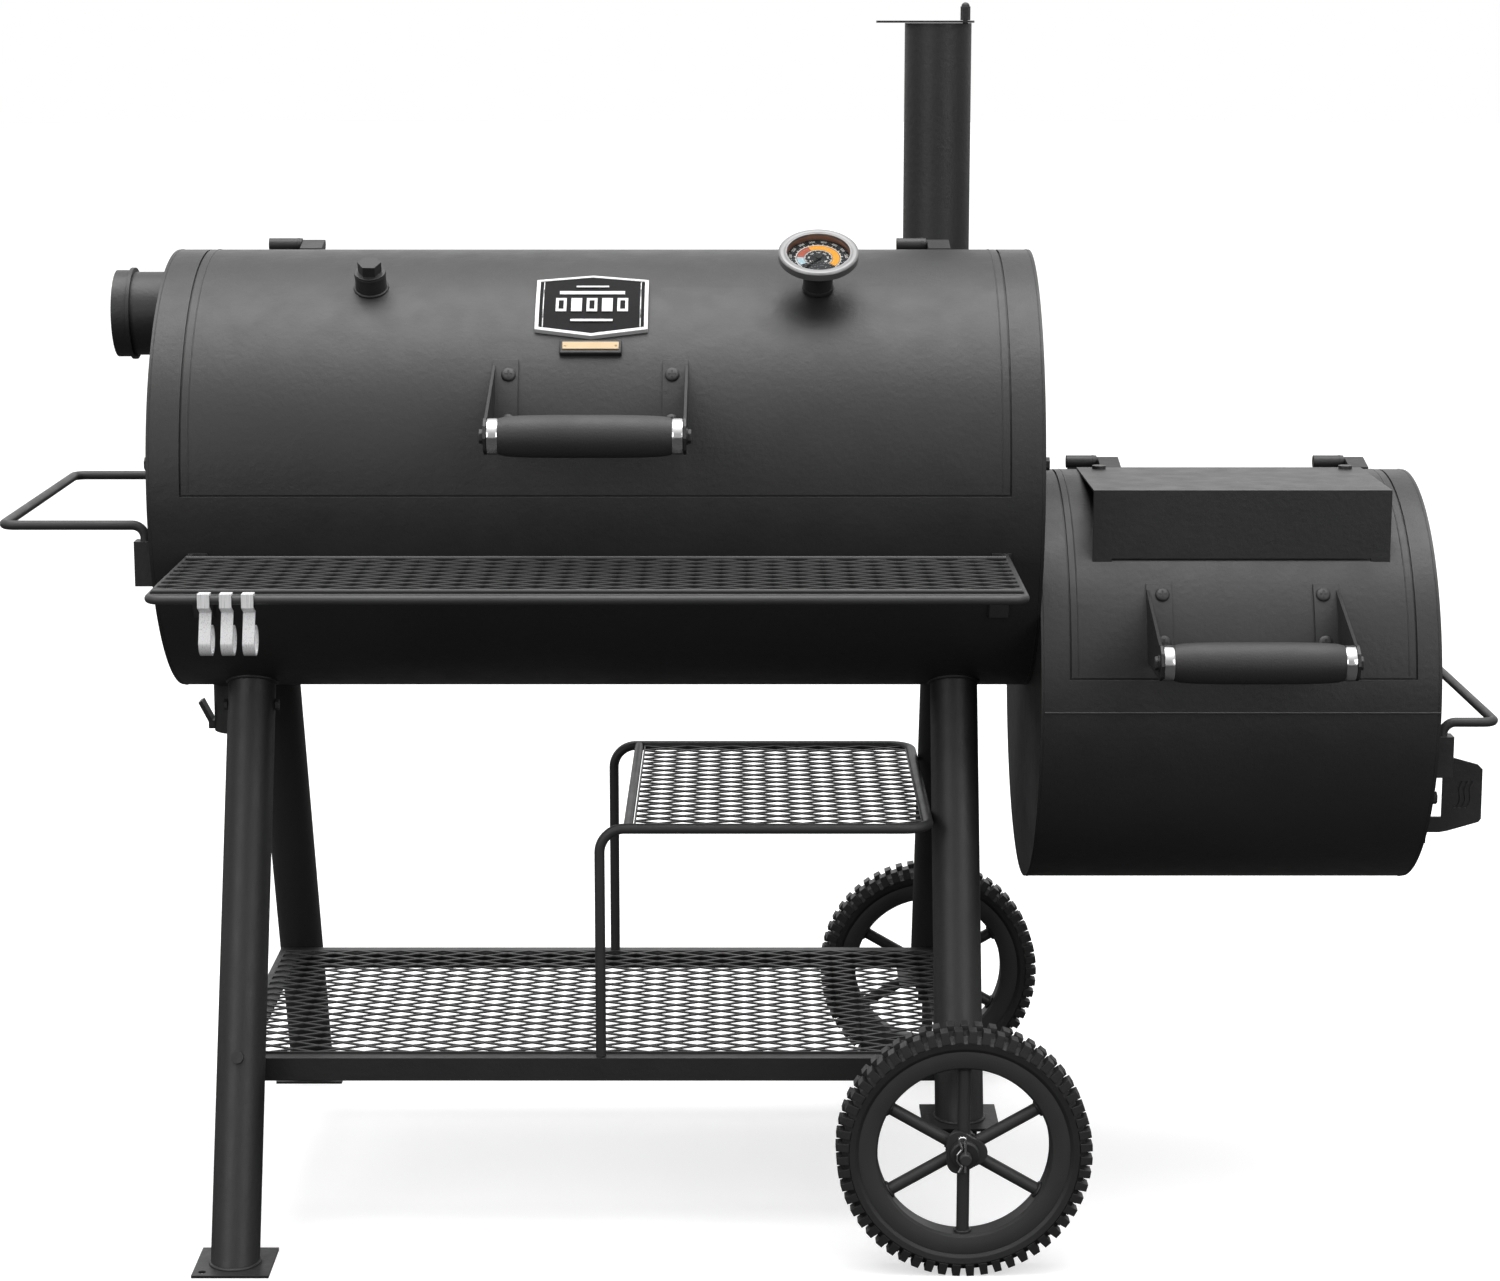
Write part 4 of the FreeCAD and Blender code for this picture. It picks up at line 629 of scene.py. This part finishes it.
GAUGE_X = 80.0
GAUGE_ANGLE = 59.5
DIAL_TOP = 39.1
SCALE_START = 222.0
TICK_STEP = 12.0
SMALL_START = 216.0
SMALL_STEP = 42.0


def arc_band(name, place, inner, outer, start, end, low, high, material):
    """A flat arc, angles in degrees counter-clockwise from place's X."""
    steps = max(3, int(abs(end - start) / 4))
    outline = []
    for k in range(steps + 1):
        angle = math.radians(start + (end - start) * k / steps)
        outline.append((outer * math.cos(angle), outer * math.sin(angle)))
    for k in range(steps, -1, -1):
        angle = math.radians(start + (end - start) * k / steps)
        outline.append((inner * math.cos(angle), inner * math.sin(angle)))
    verts = []
    for level in (low, high):
        verts += [place @ Vector((x / 1000, y / 1000, level / 1000)) for x, y in outline]
    count = len(outline)
    faces = []
    half = count // 2
    for k in range(half - 1):
        a, b, c, d = k, k + 1, count - 2 - k, count - 1 - k
        faces.append((d, c, b, a))
        faces.append((count + a, count + b, count + c, count + d))
    for k in range(count):
        j = (k + 1) % count
        faces.append((k, j, count + j, count + k))
    return add_mesh(name, verts, faces, material, "main_lid")


def dial_number(name, text, place, radius, angle_deg, height, material):
    """A numeral standing on the dial, turned to read along the arc."""
    curve = bpy.data.curves.new(name, "FONT")
    curve.body = text
    curve.size = height / 1000
    curve.align_x = "CENTER"
    curve.align_y = "CENTER"
    curve.extrude = 0.00008
    curve.resolution_u = 2
    holder = bpy.data.objects.new(name + "_text", curve)
    bpy.context.scene.collection.objects.link(holder)
    bpy.context.view_layer.update()
    mesh = bpy.data.meshes.new_from_object(holder)
    bpy.data.objects.remove(holder)
    angle = math.radians(angle_deg)
    spot = Vector((radius * math.cos(angle), radius * math.sin(angle), DIAL_TOP + 0.15)) / 1000
    local = Matrix.Translation(spot) @ Matrix.Rotation(angle - math.pi / 2, 4, "Z")
    mesh.transform(place @ local)
    mesh.materials.clear()
    mesh.materials.append(material)
    piece = bpy.data.objects.new(name, mesh)
    bpy.context.scene.collection.objects.link(piece)
    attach(piece, "main_lid")
    return piece


def dress_thermometer():
    """The dial's scale and numerals, and the liner, bead, nut, collar and paint round the case."""
    place = radial_frame(GAUGE_X, GAUGE_ANGLE, BARREL_R, BARREL_Z)
    low, high = DIAL_TOP, DIAL_TOP + 0.25
    for name, inner, outer, begin, finish, material in (
        ("dial_arc_blue", 15.2, 22.2, 214.0, 176.0, DIAL_BLUE),
        ("dial_arc_red", 15.2, 22.2, 176.0, 118.0, DIAL_RED),
        ("dial_arc_amber", 15.2, 22.2, 118.0, -40.0, DIAL_AMBER),
        ("dial_line_outer", 23.0, 23.7, SCALE_START, -42.0, DIAL_WHITE),
        ("dial_line_inner", 14.0, 14.5, SCALE_START, -42.0, DIAL_WHITE),
    ):
        arc_band(name, place, inner, outer, finish, begin, low, high, material)
    for k in range(23):
        angle = SCALE_START - TICK_STEP * k
        long_tick = k % 2 == 0
        tip = 25.6 if long_tick else 24.7
        arc_band(f"dial_tick_{k}", place, 23.7, tip, angle - 0.9, angle + 0.9, low, high, DIAL_WHITE)
        if long_tick:
            name = f"dial_inner_tick_{k}"
            arc_band(name, place, 13.0, 14.1, angle - 1.4, angle + 1.4, low, high, DIAL_WHITE)
            dial_number(f"dial_number_{k}", str(100 + 25 * k), place, 29.2, angle, 4.4, DIAL_WHITE)
    for k in range(7):
        angle = SMALL_START - SMALL_STEP * k
        dial_number(f"dial_small_{k}", str(40 + 40 * k), place, 9.8, angle, 3.0, DIAL_WHITE)
    foot = box_outline(-10.5, 10.5, -31.0, -26.0)
    slab("dial_foot", foot, low, high, place, BEZEL, "main_lid", bevel=0.0)
    liner = [(33.2, 39.2), (33.0, 44.6), (34.4, 44.6), (34.6, 39.2)]
    lathe("dial_liner", liner, place, COPPER, "main_lid", 96, closed=True)
    nut = [(15.2, 24.0), (17.6, 24.0), (17.6, 31.6), (15.2, 31.6)]
    lathe("gauge_nut", nut, place, SATIN, "main_lid", 6, closed=True)
    collar = [(15.25, 1.0), (16.1, 1.0), (16.6, 3.0), (16.1, 5.0), (15.25, 5.0)]
    lathe("gauge_collar", collar, place, SATIN, "main_lid", 72, closed=True)
    bead = [
        (33.9, 47.0), (35.2, 48.1), (37.5, 48.5), (39.8, 48.1), (41.2, 46.6), (39.4, 46.0), (35.0, 46.0),
    ]
    lathe("bezel_bead", bead, place, BEZEL, "main_lid", 128, closed=True)
    stem = [(15.2, 0.2), (15.45, 0.2), (15.45, 24.5), (15.2, 24.5)]
    lathe("gauge_stem_paint", stem, place, SATIN, "main_lid", 72, closed=True)


dress_thermometer()


# ---------------------------------------------------------------- wheels

WHEEL_X = 229.5
AXLE_Z = 132.0
WHEEL_Y = 332.0
KNOB_COUNT = 56
KNOB_ROOT = 119.4
KNOB_TIP = 131.9
SPOKE_R = 6.6
SPOKE_STEPS = (13.0, 30.0, 60.0, 84.0, 92.0)
SPOKE_WELDS = ((88.4, 2.2), (15.6, 1.6))
HUB_REACH = 24.0


def knob_verts(place, base, tip, angle, half_angle, low, high, inset):
    """Eight corners of a tapered tread block standing on the tyre."""
    verts = []
    for radius, pull in ((base, 0.0), (tip, inset)):
        for level in (low + pull, high - pull):
            spread = half_angle * (0.75 if pull else 1.0)
            for turn in (angle - spread, angle + spread):
                spot = Vector((radius * math.cos(turn), radius * math.sin(turn), level)) / 1000
                verts.append(place @ spot)
    return verts


KNOB_FACES = ((0, 2, 3, 1), (4, 5, 7, 6), (0, 1, 5, 4), (2, 6, 7, 3), (0, 4, 6, 2), (1, 3, 7, 5))


def tread(name, place, body):
    """Two staggered rows of blocks round the tyre."""
    verts = []
    faces = []
    pitch = FULL_TURN / KNOB_COUNT
    for row, (low, high) in enumerate(((-20.2, -1.0), (1.0, 20.2))):
        for k in range(KNOB_COUNT):
            angle = pitch * (k + 0.5 * row)
            start = len(verts)
            verts += knob_verts(place, KNOB_ROOT, KNOB_TIP, angle, pitch * 0.345, low, high, 1.6)
            faces += [tuple(start + i for i in face) for face in KNOB_FACES]
    return add_mesh(name, verts, faces, RUBBER, body)


def lobe_outline(radius, dip, lobes, points=72):
    """A circle pulled in between its lobes."""
    outline = []
    for k in range(points):
        angle = FULL_TURN * k / points
        reach = radius - dip * (0.5 - 0.5 * math.cos(lobes * angle))
        outline.append((reach * math.cos(angle), reach * math.sin(angle)))
    return outline


def dress_wheel(name, side):
    """A spoked wheel: tyre, tread blocks, rim, hub and six welded spokes."""
    body = f"{name}_wheel"
    out = Vector((0, side, 0))
    place = axes_frame(at(WHEEL_X, side * WHEEL_Y, AXLE_Z), out, Z_AXIS)
    tyre = [
        (109.2, -16.2), (112.5, -18.6), (118.6, -19.4), (121.0, -16.6), (125.2, -13.5), (126.8, 0.0),
        (125.2, 13.5), (121.0, 16.6), (118.6, 19.4), (112.5, 18.6), (109.2, 16.2), (107.6, 0.0),
    ]
    casing = lathe(f"{name}_tyre", tyre, place, RUBBER, body, 168, closed=True, smooth_deg=28.0)
    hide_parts(f"wheel_{name}")
    tread(f"{name}_tread", place, body)
    rim = [
        (89.2, -11.0), (91.4, -14.6), (97.0, -16.0), (106.5, -16.6), (110.4, -15.6), (110.4, 15.6),
        (106.5, 16.6), (97.0, 16.0), (91.4, 14.6), (89.2, 11.0),
    ]
    lathe(f"{name}_rim", rim, place, ROD_BLACK, body, 144, closed=True, smooth_deg=30.0)
    hub = [
        (6.42, -HUB_REACH), (13.0, -HUB_REACH), (14.8, -HUB_REACH + 1.4), (15.0, -6.0), (15.0, 6.0),
        (14.8, HUB_REACH - 1.4), (13.0, HUB_REACH), (6.42, HUB_REACH),
    ]
    lathe(f"{name}_hub", hub, place, ROD_BLACK, body, 48, closed=True)
    flange = place @ Matrix.Rotation(math.radians(30), 4, "Z")
    outer = lobe_outline(24.0, 6.0, 3)
    inner = lobe_outline(14.9, 0.0, 3)
    ring_slab(f"{name}_hub_flange", outer, inner, 9.0, 14.0, flange, ROD_BLACK, body)
    for k in range(6):
        turn = math.radians(60 * k)
        middle = Vector((WHEEL_X, side * WHEEL_Y, AXLE_Z))
        outward = Vector((math.sin(turn), 0, math.cos(turn)))
        spoke = [middle + outward * reach for reach in SPOKE_STEPS]
        tube_along(f"{name}_spoke_{k}", spoke, SPOKE_R, ROD_BLACK, body, 24)
        across = Vector((math.cos(turn), 0, -math.sin(turn)))
        for reach, size in SPOKE_WELDS:
            centre = middle + outward * reach
            ring = []
            for i in range(25):
                angle = FULL_TURN * i / 24
                reach_out = across * math.cos(angle) + Y_AXIS * math.sin(angle)
                ring.append(centre + reach_out * (SPOKE_R + 0.6))
            weld_bead(f"{name}_spoke_weld_{k}_{int(reach)}", ring, size, body, closed=True)


dress_wheel("front", -1)
dress_wheel("rear", 1)


# ---------------------------------------------------------------- axle ends

AXLE_R = 6.35
AXLE_HALF = 370.0
WASHER_R = 14.0
WASHERS = (("inner", 305.4, 307.6), ("outer", 356.4, 358.2))
CLIP_Y = 361.0


def dress_axle():
    """The bar with its washers and spring clips."""
    shaft = axes_frame(at(WHEEL_X, 0, AXLE_Z), Y_AXIS, X_AXIS)
    profile = [
        (0, -AXLE_HALF), (5.2, -AXLE_HALF), (AXLE_R, -AXLE_HALF + 1.4), (AXLE_R, AXLE_HALF - 1.4),
        (5.2, AXLE_HALF), (0, AXLE_HALF),
    ]
    bar = lathe("axle_bar", profile, shaft, ROD_BLACK, "root", 48)
    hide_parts("axle")
    for side in (-1, 1):
        tag = "front" if side < 0 else "rear"
        for name, low, high in WASHERS:
            place = axes_frame(at(WHEEL_X, side * low, AXLE_Z), Vector((0, side, 0)), X_AXIS)
            thick = high - low
            ring = [
                (6.4, 0), (WASHER_R - 0.4, 0), (WASHER_R, 0.4), (WASHER_R, thick - 0.4),
                (WASHER_R - 0.4, thick), (6.4, thick),
            ]
            lathe(f"axle_washer_{tag}_{name}", ring, place, STEEL_BLACK, "root", 48, closed=True)
        bend = (
            (0, -15.7), (0, 21.5), (-6.5, 21.5), (-6.5, 17), (-3.3, 9.5),
            (-8.2, 3), (-8.2, -3), (-3.2, -9.5), (-6.5, -15.5),
        )
        path = round_path([(WHEEL_X + dx, side * CLIP_Y, AXLE_Z + dz) for dx, dz in bend], 2.2, 5)
        tube_along(f"axle_clip_{tag}", path, 1.5, CHROME, "root", 14)


dress_axle()


# ---------------------------------------------------------------- welds, seams and small fittings

def ring_on(centre, axis, across, radius, count=72):
    """Points of a circle in millimetres, closed."""
    axis = axis.normalized()
    across = (across - axis * across.dot(axis)).normalized()
    other = axis.cross(across)
    points = []
    for k in range(count + 1):
        angle = FULL_TURN * k / count
        points.append(centre + (across * math.cos(angle) + other * math.sin(angle)) * radius)
    return points


LEG_XS = (-529.0, 229.5)
LEG_FOOT_Y = 318.0
LEG_LEAN = 0.4
LEG_R = 25.4
LEFT_PLATE_Z = 3.0
RIGHT_PLATE_Z = 142.5
RIGHT_END_MM = 312.0
FIRE_END_MM = 729.0
SEAM_INSET = 3.0
COLLAR_R = 45.9
STACK_X = 228.5
STACK_Y = 310.0
STACK_Z = 886.5
STACK_R = 38.9
PORT_CENTRE = Vector((LEFT_END_MM - 0.6, 40.0, 962.0))
DRAIN_X = -555.0
DRAIN_R = 30.4
BRACKET_SIDES = (-570.0, -550.0, 258.0, 278.0)
BRACKET_FOOT = 668.0
BRACKET_TALL = 64.0
MAIN_HINGE = (72.0, 1035.0)
FIRE_HINGE = (70.0, 794.0)


def leg_centre(x, side, z):
    """A point on a leg's axis at height z."""
    return Vector((x, side * (LEG_FOOT_Y - LEG_LEAN * z), z))


def leg_saddle(x, side):
    """Where a sloping leg's skin meets the barrel."""
    axis = (leg_centre(x, side, 1) - leg_centre(x, side, 0)).normalized()
    points = []
    for spot in ring_on(leg_centre(x, side, 400), axis, X_AXIS, LEG_R + 0.5):
        a = axis.y ** 2 + axis.z ** 2
        b = 2 * (spot.y * axis.y + (spot.z - BARREL_Z) * axis.z)
        c = spot.y ** 2 + (spot.z - BARREL_Z) ** 2 - (BARREL_R + 0.6) ** 2
        travel = (-b - math.sqrt(b * b - 4 * a * c)) / (2 * a)
        points.append(spot + axis * travel)
    return points


def add_welds():
    """Beads where legs, collars, sockets, brackets and hinge barrels are welded on, and the drum seams."""
    for x in LEG_XS:
        for side in (-1, 1):
            tag = f"{'l' if x < 0 else 'r'}{side + 1}"
            weld_bead(f"weld_leg_top_{tag}", leg_saddle(x, side), 2.3, "root", closed=True)
            plate_z = LEFT_PLATE_Z if x < 0 else RIGHT_PLATE_Z
            foot = []
            axis = (leg_centre(x, side, 1) - leg_centre(x, side, 0)).normalized()
            for spot in ring_on(leg_centre(x, side, plate_z), axis, X_AXIS, LEG_R + 0.2):
                foot.append(spot + axis * ((plate_z + 0.6 - spot.z) / axis.z))
            weld_bead(f"weld_leg_foot_{tag}", foot, 2.0, "root", closed=True)
    port = ring_on(PORT_CENTRE, X_AXIS, Z_AXIS, COLLAR_R)
    weld_bead("weld_port_collar", port, 2.0, "root", closed=True)
    saddle = []
    for spot in ring_on(Vector((STACK_X, 0, STACK_Z)), Y_AXIS, X_AXIS, COLLAR_R):
        saddle.append(Vector((spot.x, math.sqrt((BARREL_R + 0.6) ** 2 - (spot.z - BARREL_Z) ** 2), spot.z)))
    weld_bead("weld_stack_collar", saddle, 2.0, "root", closed=True)
    mitre = []
    for k in range(73):
        angle = FULL_TURN * k / 72
        up = STACK_R * math.sin(angle)
        mitre.append(Vector((STACK_X + STACK_R * math.cos(angle), STACK_Y - up, STACK_Z + up)))
    weld_bead("weld_stack_mitre", mitre, 1.7, "root", closed=True)
    spout = []
    for spot in ring_on(Vector((DRAIN_X, 0, 0)), Z_AXIS, X_AXIS, DRAIN_R):
        spout.append(Vector((spot.x, spot.y, BARREL_Z - math.sqrt((BARREL_R + 0.6) ** 2 - spot.y ** 2))))
    weld_bead("weld_drain", spout, 1.8, "root", closed=True)
    for name, wall_x, out, half, low, high in (
        ("left", LEFT_END_MM, -1, 192.0, 699.0, 746.0), ("right", FIRE_END_MM, 1, 185.0, 493.0, 537.0),
    ):
        for side in (-1, 1):
            for edge in (-10.6, 10.6):
                start = Vector((wall_x + out * 0.6, side * half + edge, low + 3))
                finish = Vector((wall_x + out * 0.6, side * half + edge, high - 3))
                weld_bead(f"weld_socket_{name}_{side + 1}_{int(edge) + 11}", [start, finish], 1.5, "root")
    for name, x, radius, centre_z in (
        ("barrel_left", LEFT_END_MM + SEAM_INSET, BARREL_R, BARREL_Z),
        ("barrel_right", RIGHT_END_MM - SEAM_INSET, BARREL_R, BARREL_Z),
        ("fire_left", RIGHT_END_MM + SEAM_INSET, FIRE_R, FIRE_Z),
        ("fire_right", FIRE_END_MM - SEAM_INSET, FIRE_R, FIRE_Z),
    ):
        ring = ring_on(Vector((x, 0, centre_z)), X_AXIS, Z_AXIS, radius - 0.1, 180)
        weld_bead(f"seam_{name}", ring, 0.55, "root", closed=True)
    for x in BRACKET_SIDES:
        strip = []
        for k in range(12):
            height = BRACKET_FOOT + BRACKET_TALL * k / 11
            angle = math.degrees(math.asin((height - BARREL_Z) / (BARREL_R + 0.6)))
            strip.append(drum_point(x, angle, BARREL_R + 0.6, BARREL_Z))
        weld_bead(f"weld_bracket_{int(x) + 600}", strip, 1.3, "root")
    hinges = (
        ("main", MAIN_HINGE[0], BARREL_R, BARREL_Z, ((-518.7, -486.4), (173.0, 201.2))),
        ("fire", FIRE_HINGE[0], FIRE_R, FIRE_Z, ((364.4, 393.9), (640.2, 669.3))),
    )
    for name, hinge_y, radius, centre_z, spans in hinges:
        for k, (x0, x1) in enumerate(spans):
            for j, y in enumerate((hinge_y - 4.6, hinge_y + 6.6)):
                z = centre_z + math.sqrt((radius + 0.5) ** 2 - y ** 2)
                run = [Vector((x0, y, z)), Vector((x1, y, z))]
                weld_bead(f"weld_hinge_{name}_{k}{j}", run, 1.3, "root")


add_welds()


def lid_seam_lines():
    """The raised hem along each lid's ends, rolled with the lid."""
    for name, body, x, radius, centre_z, low_z, rear in (
        ("main_hem_right", "main_lid", 267.6, BARREL_R, BARREL_Z, 803.0, 57.0),
        ("main_hem_left", "main_lid", -566.6, BARREL_R, BARREL_Z, 803.0, 57.0),
        ("fire_hem_right", "firebox_lid", 694.6, FIRE_R, FIRE_Z, 608.5, 55.0),
        ("fire_hem_left", "firebox_lid", 350.6, FIRE_R, FIRE_Z, 608.5, 55.0),
    ):
        first = math.degrees(math.asin((low_z - centre_z) / radius))
        last = 180 - math.degrees(math.acos(rear / radius))
        path = [drum_point(x, first + (last - first) * k / 60, radius - 0.25, centre_z) for k in range(61)]
        tube_along(name, path, 0.75, SATIN, body, 8)


lid_seam_lines()


FIRE_SEAM_Z = 569.4


def firebox_seam():
    """The lapped edge where the firebox's halves meet, which catches the light."""
    for side in (-1, 1):
        y = side * (FIRE_R + 0.35)
        path = [Vector((x, y, FIRE_SEAM_Z)) for x in (315.5, 520.0, 728.5)]
        tag = "front" if side < 0 else "rear"
        tube_along(f"firebox_seam_{tag}", path, 0.9, ROD_BLACK, "root", 10)


firebox_seam()


def shelf_bars():
    """The bars along the front and back of the shelf's mesh, lying over its cut edges."""
    for tag, y, z, radius in (("front", -470.8, 740.2, 2.4), ("back", -273.4, 740.4, 2.3)):
        path = [Vector((x, y, z)) for x in (-565.0, -148.0, 269.0)]
        tube_along(f"shelf_bar_{tag}", path, radius, ROD_BLACK, "root", 14)


shelf_bars()


COUPLING_X = -388.0
COUPLING_ANGLE = 60.0
RAIL_BOLT_Y = 205.0
RAIL_BOLT_Z = 828.0


def small_fittings():
    """The coupling's lip and weld, the collars on the hinge pins and the washers of the rail bolts."""
    place = radial_frame(COUPLING_X, COUPLING_ANGLE, BARREL_R, BARREL_Z)
    foot = drum_point(COUPLING_X, COUPLING_ANGLE, BARREL_R + 0.4, BARREL_Z)
    weld_ring = ring_on(foot, drum_point(0, COUPLING_ANGLE, 1.0, 0.0), X_AXIS, 16.9, 48)
    weld_bead("weld_coupling", weld_ring, 1.6, "main_lid", closed=True)
    lip = [(11.0, 20.0), (15.4, 20.0), (16.5, 18.9), (16.7, 17.0), (16.3, 17.0), (16.3, 20.2), (11.0, 20.6)]
    lathe("coupling_lip", lip, place, SATIN, "main_lid", 64, closed=True)
    collar = [(3.6, 0.6), (6.3, 0.6), (6.3, -1.0), (7.3, -2.0), (7.3, -4.0), (3.6, -4.0)]
    washer = [(0, 0), (8.6, 0), (8.6, 1.2), (0, 1.2)]
    for name, x, hinge in (
        ("main_left", -485.4, MAIN_HINGE), ("main_right", 202.2, MAIN_HINGE),
        ("fire_left", 394.9, FIRE_HINGE), ("fire_right", 670.3, FIRE_HINGE),
    ):
        spot = axes_frame(at(x, *hinge), X_AXIS, Z_AXIS)
        lathe(f"hinge_collar_{name}", collar, spot, SATIN, "root", 36, closed=True)
    for x, out in ((LEFT_END_MM, -1), (RIGHT_END_MM, 1)):
        for side in (-1, 1):
            spot = axes_frame(at(x, side * RAIL_BOLT_Y, RAIL_BOLT_Z), Vector((out, 0, 0)), Z_AXIS)
            tag = f"{'l' if out < 0 else 'r'}{side + 1}"
            lathe(f"rail_washer_{tag}", washer, spot, ROD_BLACK, "root", 32)


small_fittings()


# ---------------------------------------------------------------- floor, light and camera

FLOOR_REACH = 40.0
FLOOR_CORNERS = 64
FLOOR_GREY = 0.60
FLOOR_GLOW = 0.56
FLOOR_UNSEEN = 0.05


def add_floor():
    """A wide pale floor. Only the camera sees it pale, so that it doesn't light the grill from below."""
    material, tree, shader = new_material("floor_white")
    tree.links.new(ramp(tree, noise(tree, 1.5), FLOOR_GREY - 0.01, FLOOR_GREY), shader.inputs["Base Color"])
    shader.inputs["Roughness"].default_value = 0.9
    shader.inputs["Emission Color"].default_value = (1, 1, 1, 1)
    shader.inputs["Emission Strength"].default_value = FLOOR_GLOW
    dim = tree.nodes.new("ShaderNodeBsdfDiffuse")
    dim.inputs["Color"].default_value = (FLOOR_UNSEEN, FLOOR_UNSEEN, FLOOR_UNSEEN, 1)
    seen_by = tree.nodes.new("ShaderNodeLightPath")
    pick = tree.nodes.new("ShaderNodeMixShader")
    tree.links.new(seen_by.outputs["Is Camera Ray"], pick.inputs[0])
    tree.links.new(dim.outputs["BSDF"], pick.inputs[1])
    tree.links.new(shader.outputs["BSDF"], pick.inputs[2])
    tree.links.new(pick.outputs["Shader"], tree.nodes["Material Output"].inputs["Surface"])
    turns = [FULL_TURN * k / FLOOR_CORNERS for k in range(FLOOR_CORNERS)]
    verts = [(FLOOR_REACH * math.cos(turn), FLOOR_REACH * math.sin(turn), 0) for turn in turns]
    mesh = bpy.data.meshes.new("floor")
    mesh.from_pydata(verts, [], [tuple(range(FLOOR_CORNERS))])
    mesh.materials.append(material)
    floor = bpy.data.objects.new("floor", mesh)
    bpy.context.scene.collection.objects.link(floor)


# Each lamp's name, place, target, width and height in metres, and watts.
LIGHTS = (
    ("overhead", (0.0, -0.1, 4.2), (0.0, 0.0, 0.6), 4.5, 3.0, 145.0),
    ("front_left", (-3.2, -4.0, 2.2), (0.0, 0.0, 0.7), 2.2, 2.2, 44.0),
    ("front_right", (3.2, -4.0, 2.2), (0.0, 0.0, 0.7), 2.2, 2.2, 44.0),
)


def add_light(name, place, target, wide, tall, power):
    data = bpy.data.lights.new(name, "AREA")
    data.shape = "RECTANGLE"
    data.size = wide
    data.size_y = tall
    data.energy = power
    lamp = bpy.data.objects.new(name, data)
    lamp.location = place
    lamp.rotation_euler = (Vector(target) - Vector(place)).to_track_quat("-Z", "Y").to_euler()
    bpy.context.scene.collection.objects.link(lamp)


# Brightness of the dome from straight below (0) to straight above (1), and what is added behind the grill.
SKY = ((0.0, 0.02), (0.34, 0.08), (0.42, 0.22), (0.54, 0.23), (0.70, 0.23), (0.85, 0.46), (1.0, 1.0))
REAR_GLOW = ((0.49, 0.0), (0.54, 0.66), (0.70, 0.32), (0.9, 0.0))
SKY_STRENGTH = 1.9


def add_world():
    """A studio dome: bright overhead, dim at the horizon, dark below, and white where the camera looks."""
    world = bpy.data.worlds.new("studio")
    bpy.context.scene.world = world
    world.use_nodes = True
    tree = world.node_tree
    backdrop = tree.nodes["Background"]
    backdrop.inputs["Color"].default_value = (1, 1, 1, 1)
    where = tree.nodes.new("ShaderNodeTexCoord")
    split = tree.nodes.new("ShaderNodeSeparateXYZ")
    tree.links.new(where.outputs["Generated"], split.inputs["Vector"])
    lift = tree.nodes.new("ShaderNodeMath")
    lift.operation = "MULTIPLY_ADD"
    lift.inputs[1].default_value = 0.5
    lift.inputs[2].default_value = 0.5
    tree.links.new(split.outputs["Z"], lift.inputs[0])
    bands = []
    for levels in (SKY, REAR_GLOW):
        dome = tree.nodes.new("ShaderNodeValToRGB")
        stops = dome.color_ramp.elements
        while len(stops) < len(levels):
            stops.new(0.5)
        for stop, (place, level) in zip(stops, levels):
            stop.position = place
            stop.color = (level, level, level, 1)
        tree.links.new(lift.outputs["Value"], dome.inputs["Fac"])
        bands.append(dome.outputs["Color"])
    behind = tree.nodes.new("ShaderNodeMath")
    behind.operation = "MAXIMUM"
    behind.inputs[1].default_value = 0.0
    tree.links.new(split.outputs["Y"], behind.inputs[0])
    total = tree.nodes.new("ShaderNodeVectorMath")
    total.operation = "MULTIPLY_ADD"
    tree.links.new(bands[1], total.inputs[0])
    tree.links.new(behind.outputs["Value"], total.inputs[1])
    tree.links.new(bands[0], total.inputs[2])
    light = tree.nodes.new("ShaderNodeBackground")
    light.inputs["Strength"].default_value = SKY_STRENGTH
    tree.links.new(total.outputs["Vector"], light.inputs["Color"])
    seen_by = tree.nodes.new("ShaderNodeLightPath")
    pick = tree.nodes.new("ShaderNodeMixShader")
    tree.links.new(seen_by.outputs["Is Camera Ray"], pick.inputs[0])
    tree.links.new(light.outputs["Background"], pick.inputs[1])
    tree.links.new(backdrop.outputs["Background"], pick.inputs[2])
    tree.links.new(pick.outputs["Shader"], tree.nodes["World Output"].inputs["Surface"])


CAMERA_PLACE = (0.0, -3570.0, 1275.8)
CAMERA_DIP = 10.66
CAMERA_LENS = 78.8
CAMERA_SHIFT = 0.0057


def add_camera():
    """The viewing angle: level with the lid, tipped down a little, long lens."""
    data = bpy.data.cameras.new("camera")
    data.sensor_width = 36.0
    data.lens = CAMERA_LENS
    data.shift_x = CAMERA_SHIFT
    data.clip_end = 100.0
    camera = bpy.data.objects.new("camera", data)
    camera.location = at(*CAMERA_PLACE)
    camera.rotation_euler = (math.radians(90.0 - CAMERA_DIP), 0.0, 0.0)
    bpy.context.scene.collection.objects.link(camera)
    bpy.context.scene.camera = camera


add_floor()
add_world()
bpy.context.scene.view_settings.view_transform = "Standard"
for lamp_row in LIGHTS:
    add_light(*lamp_row)
add_camera()
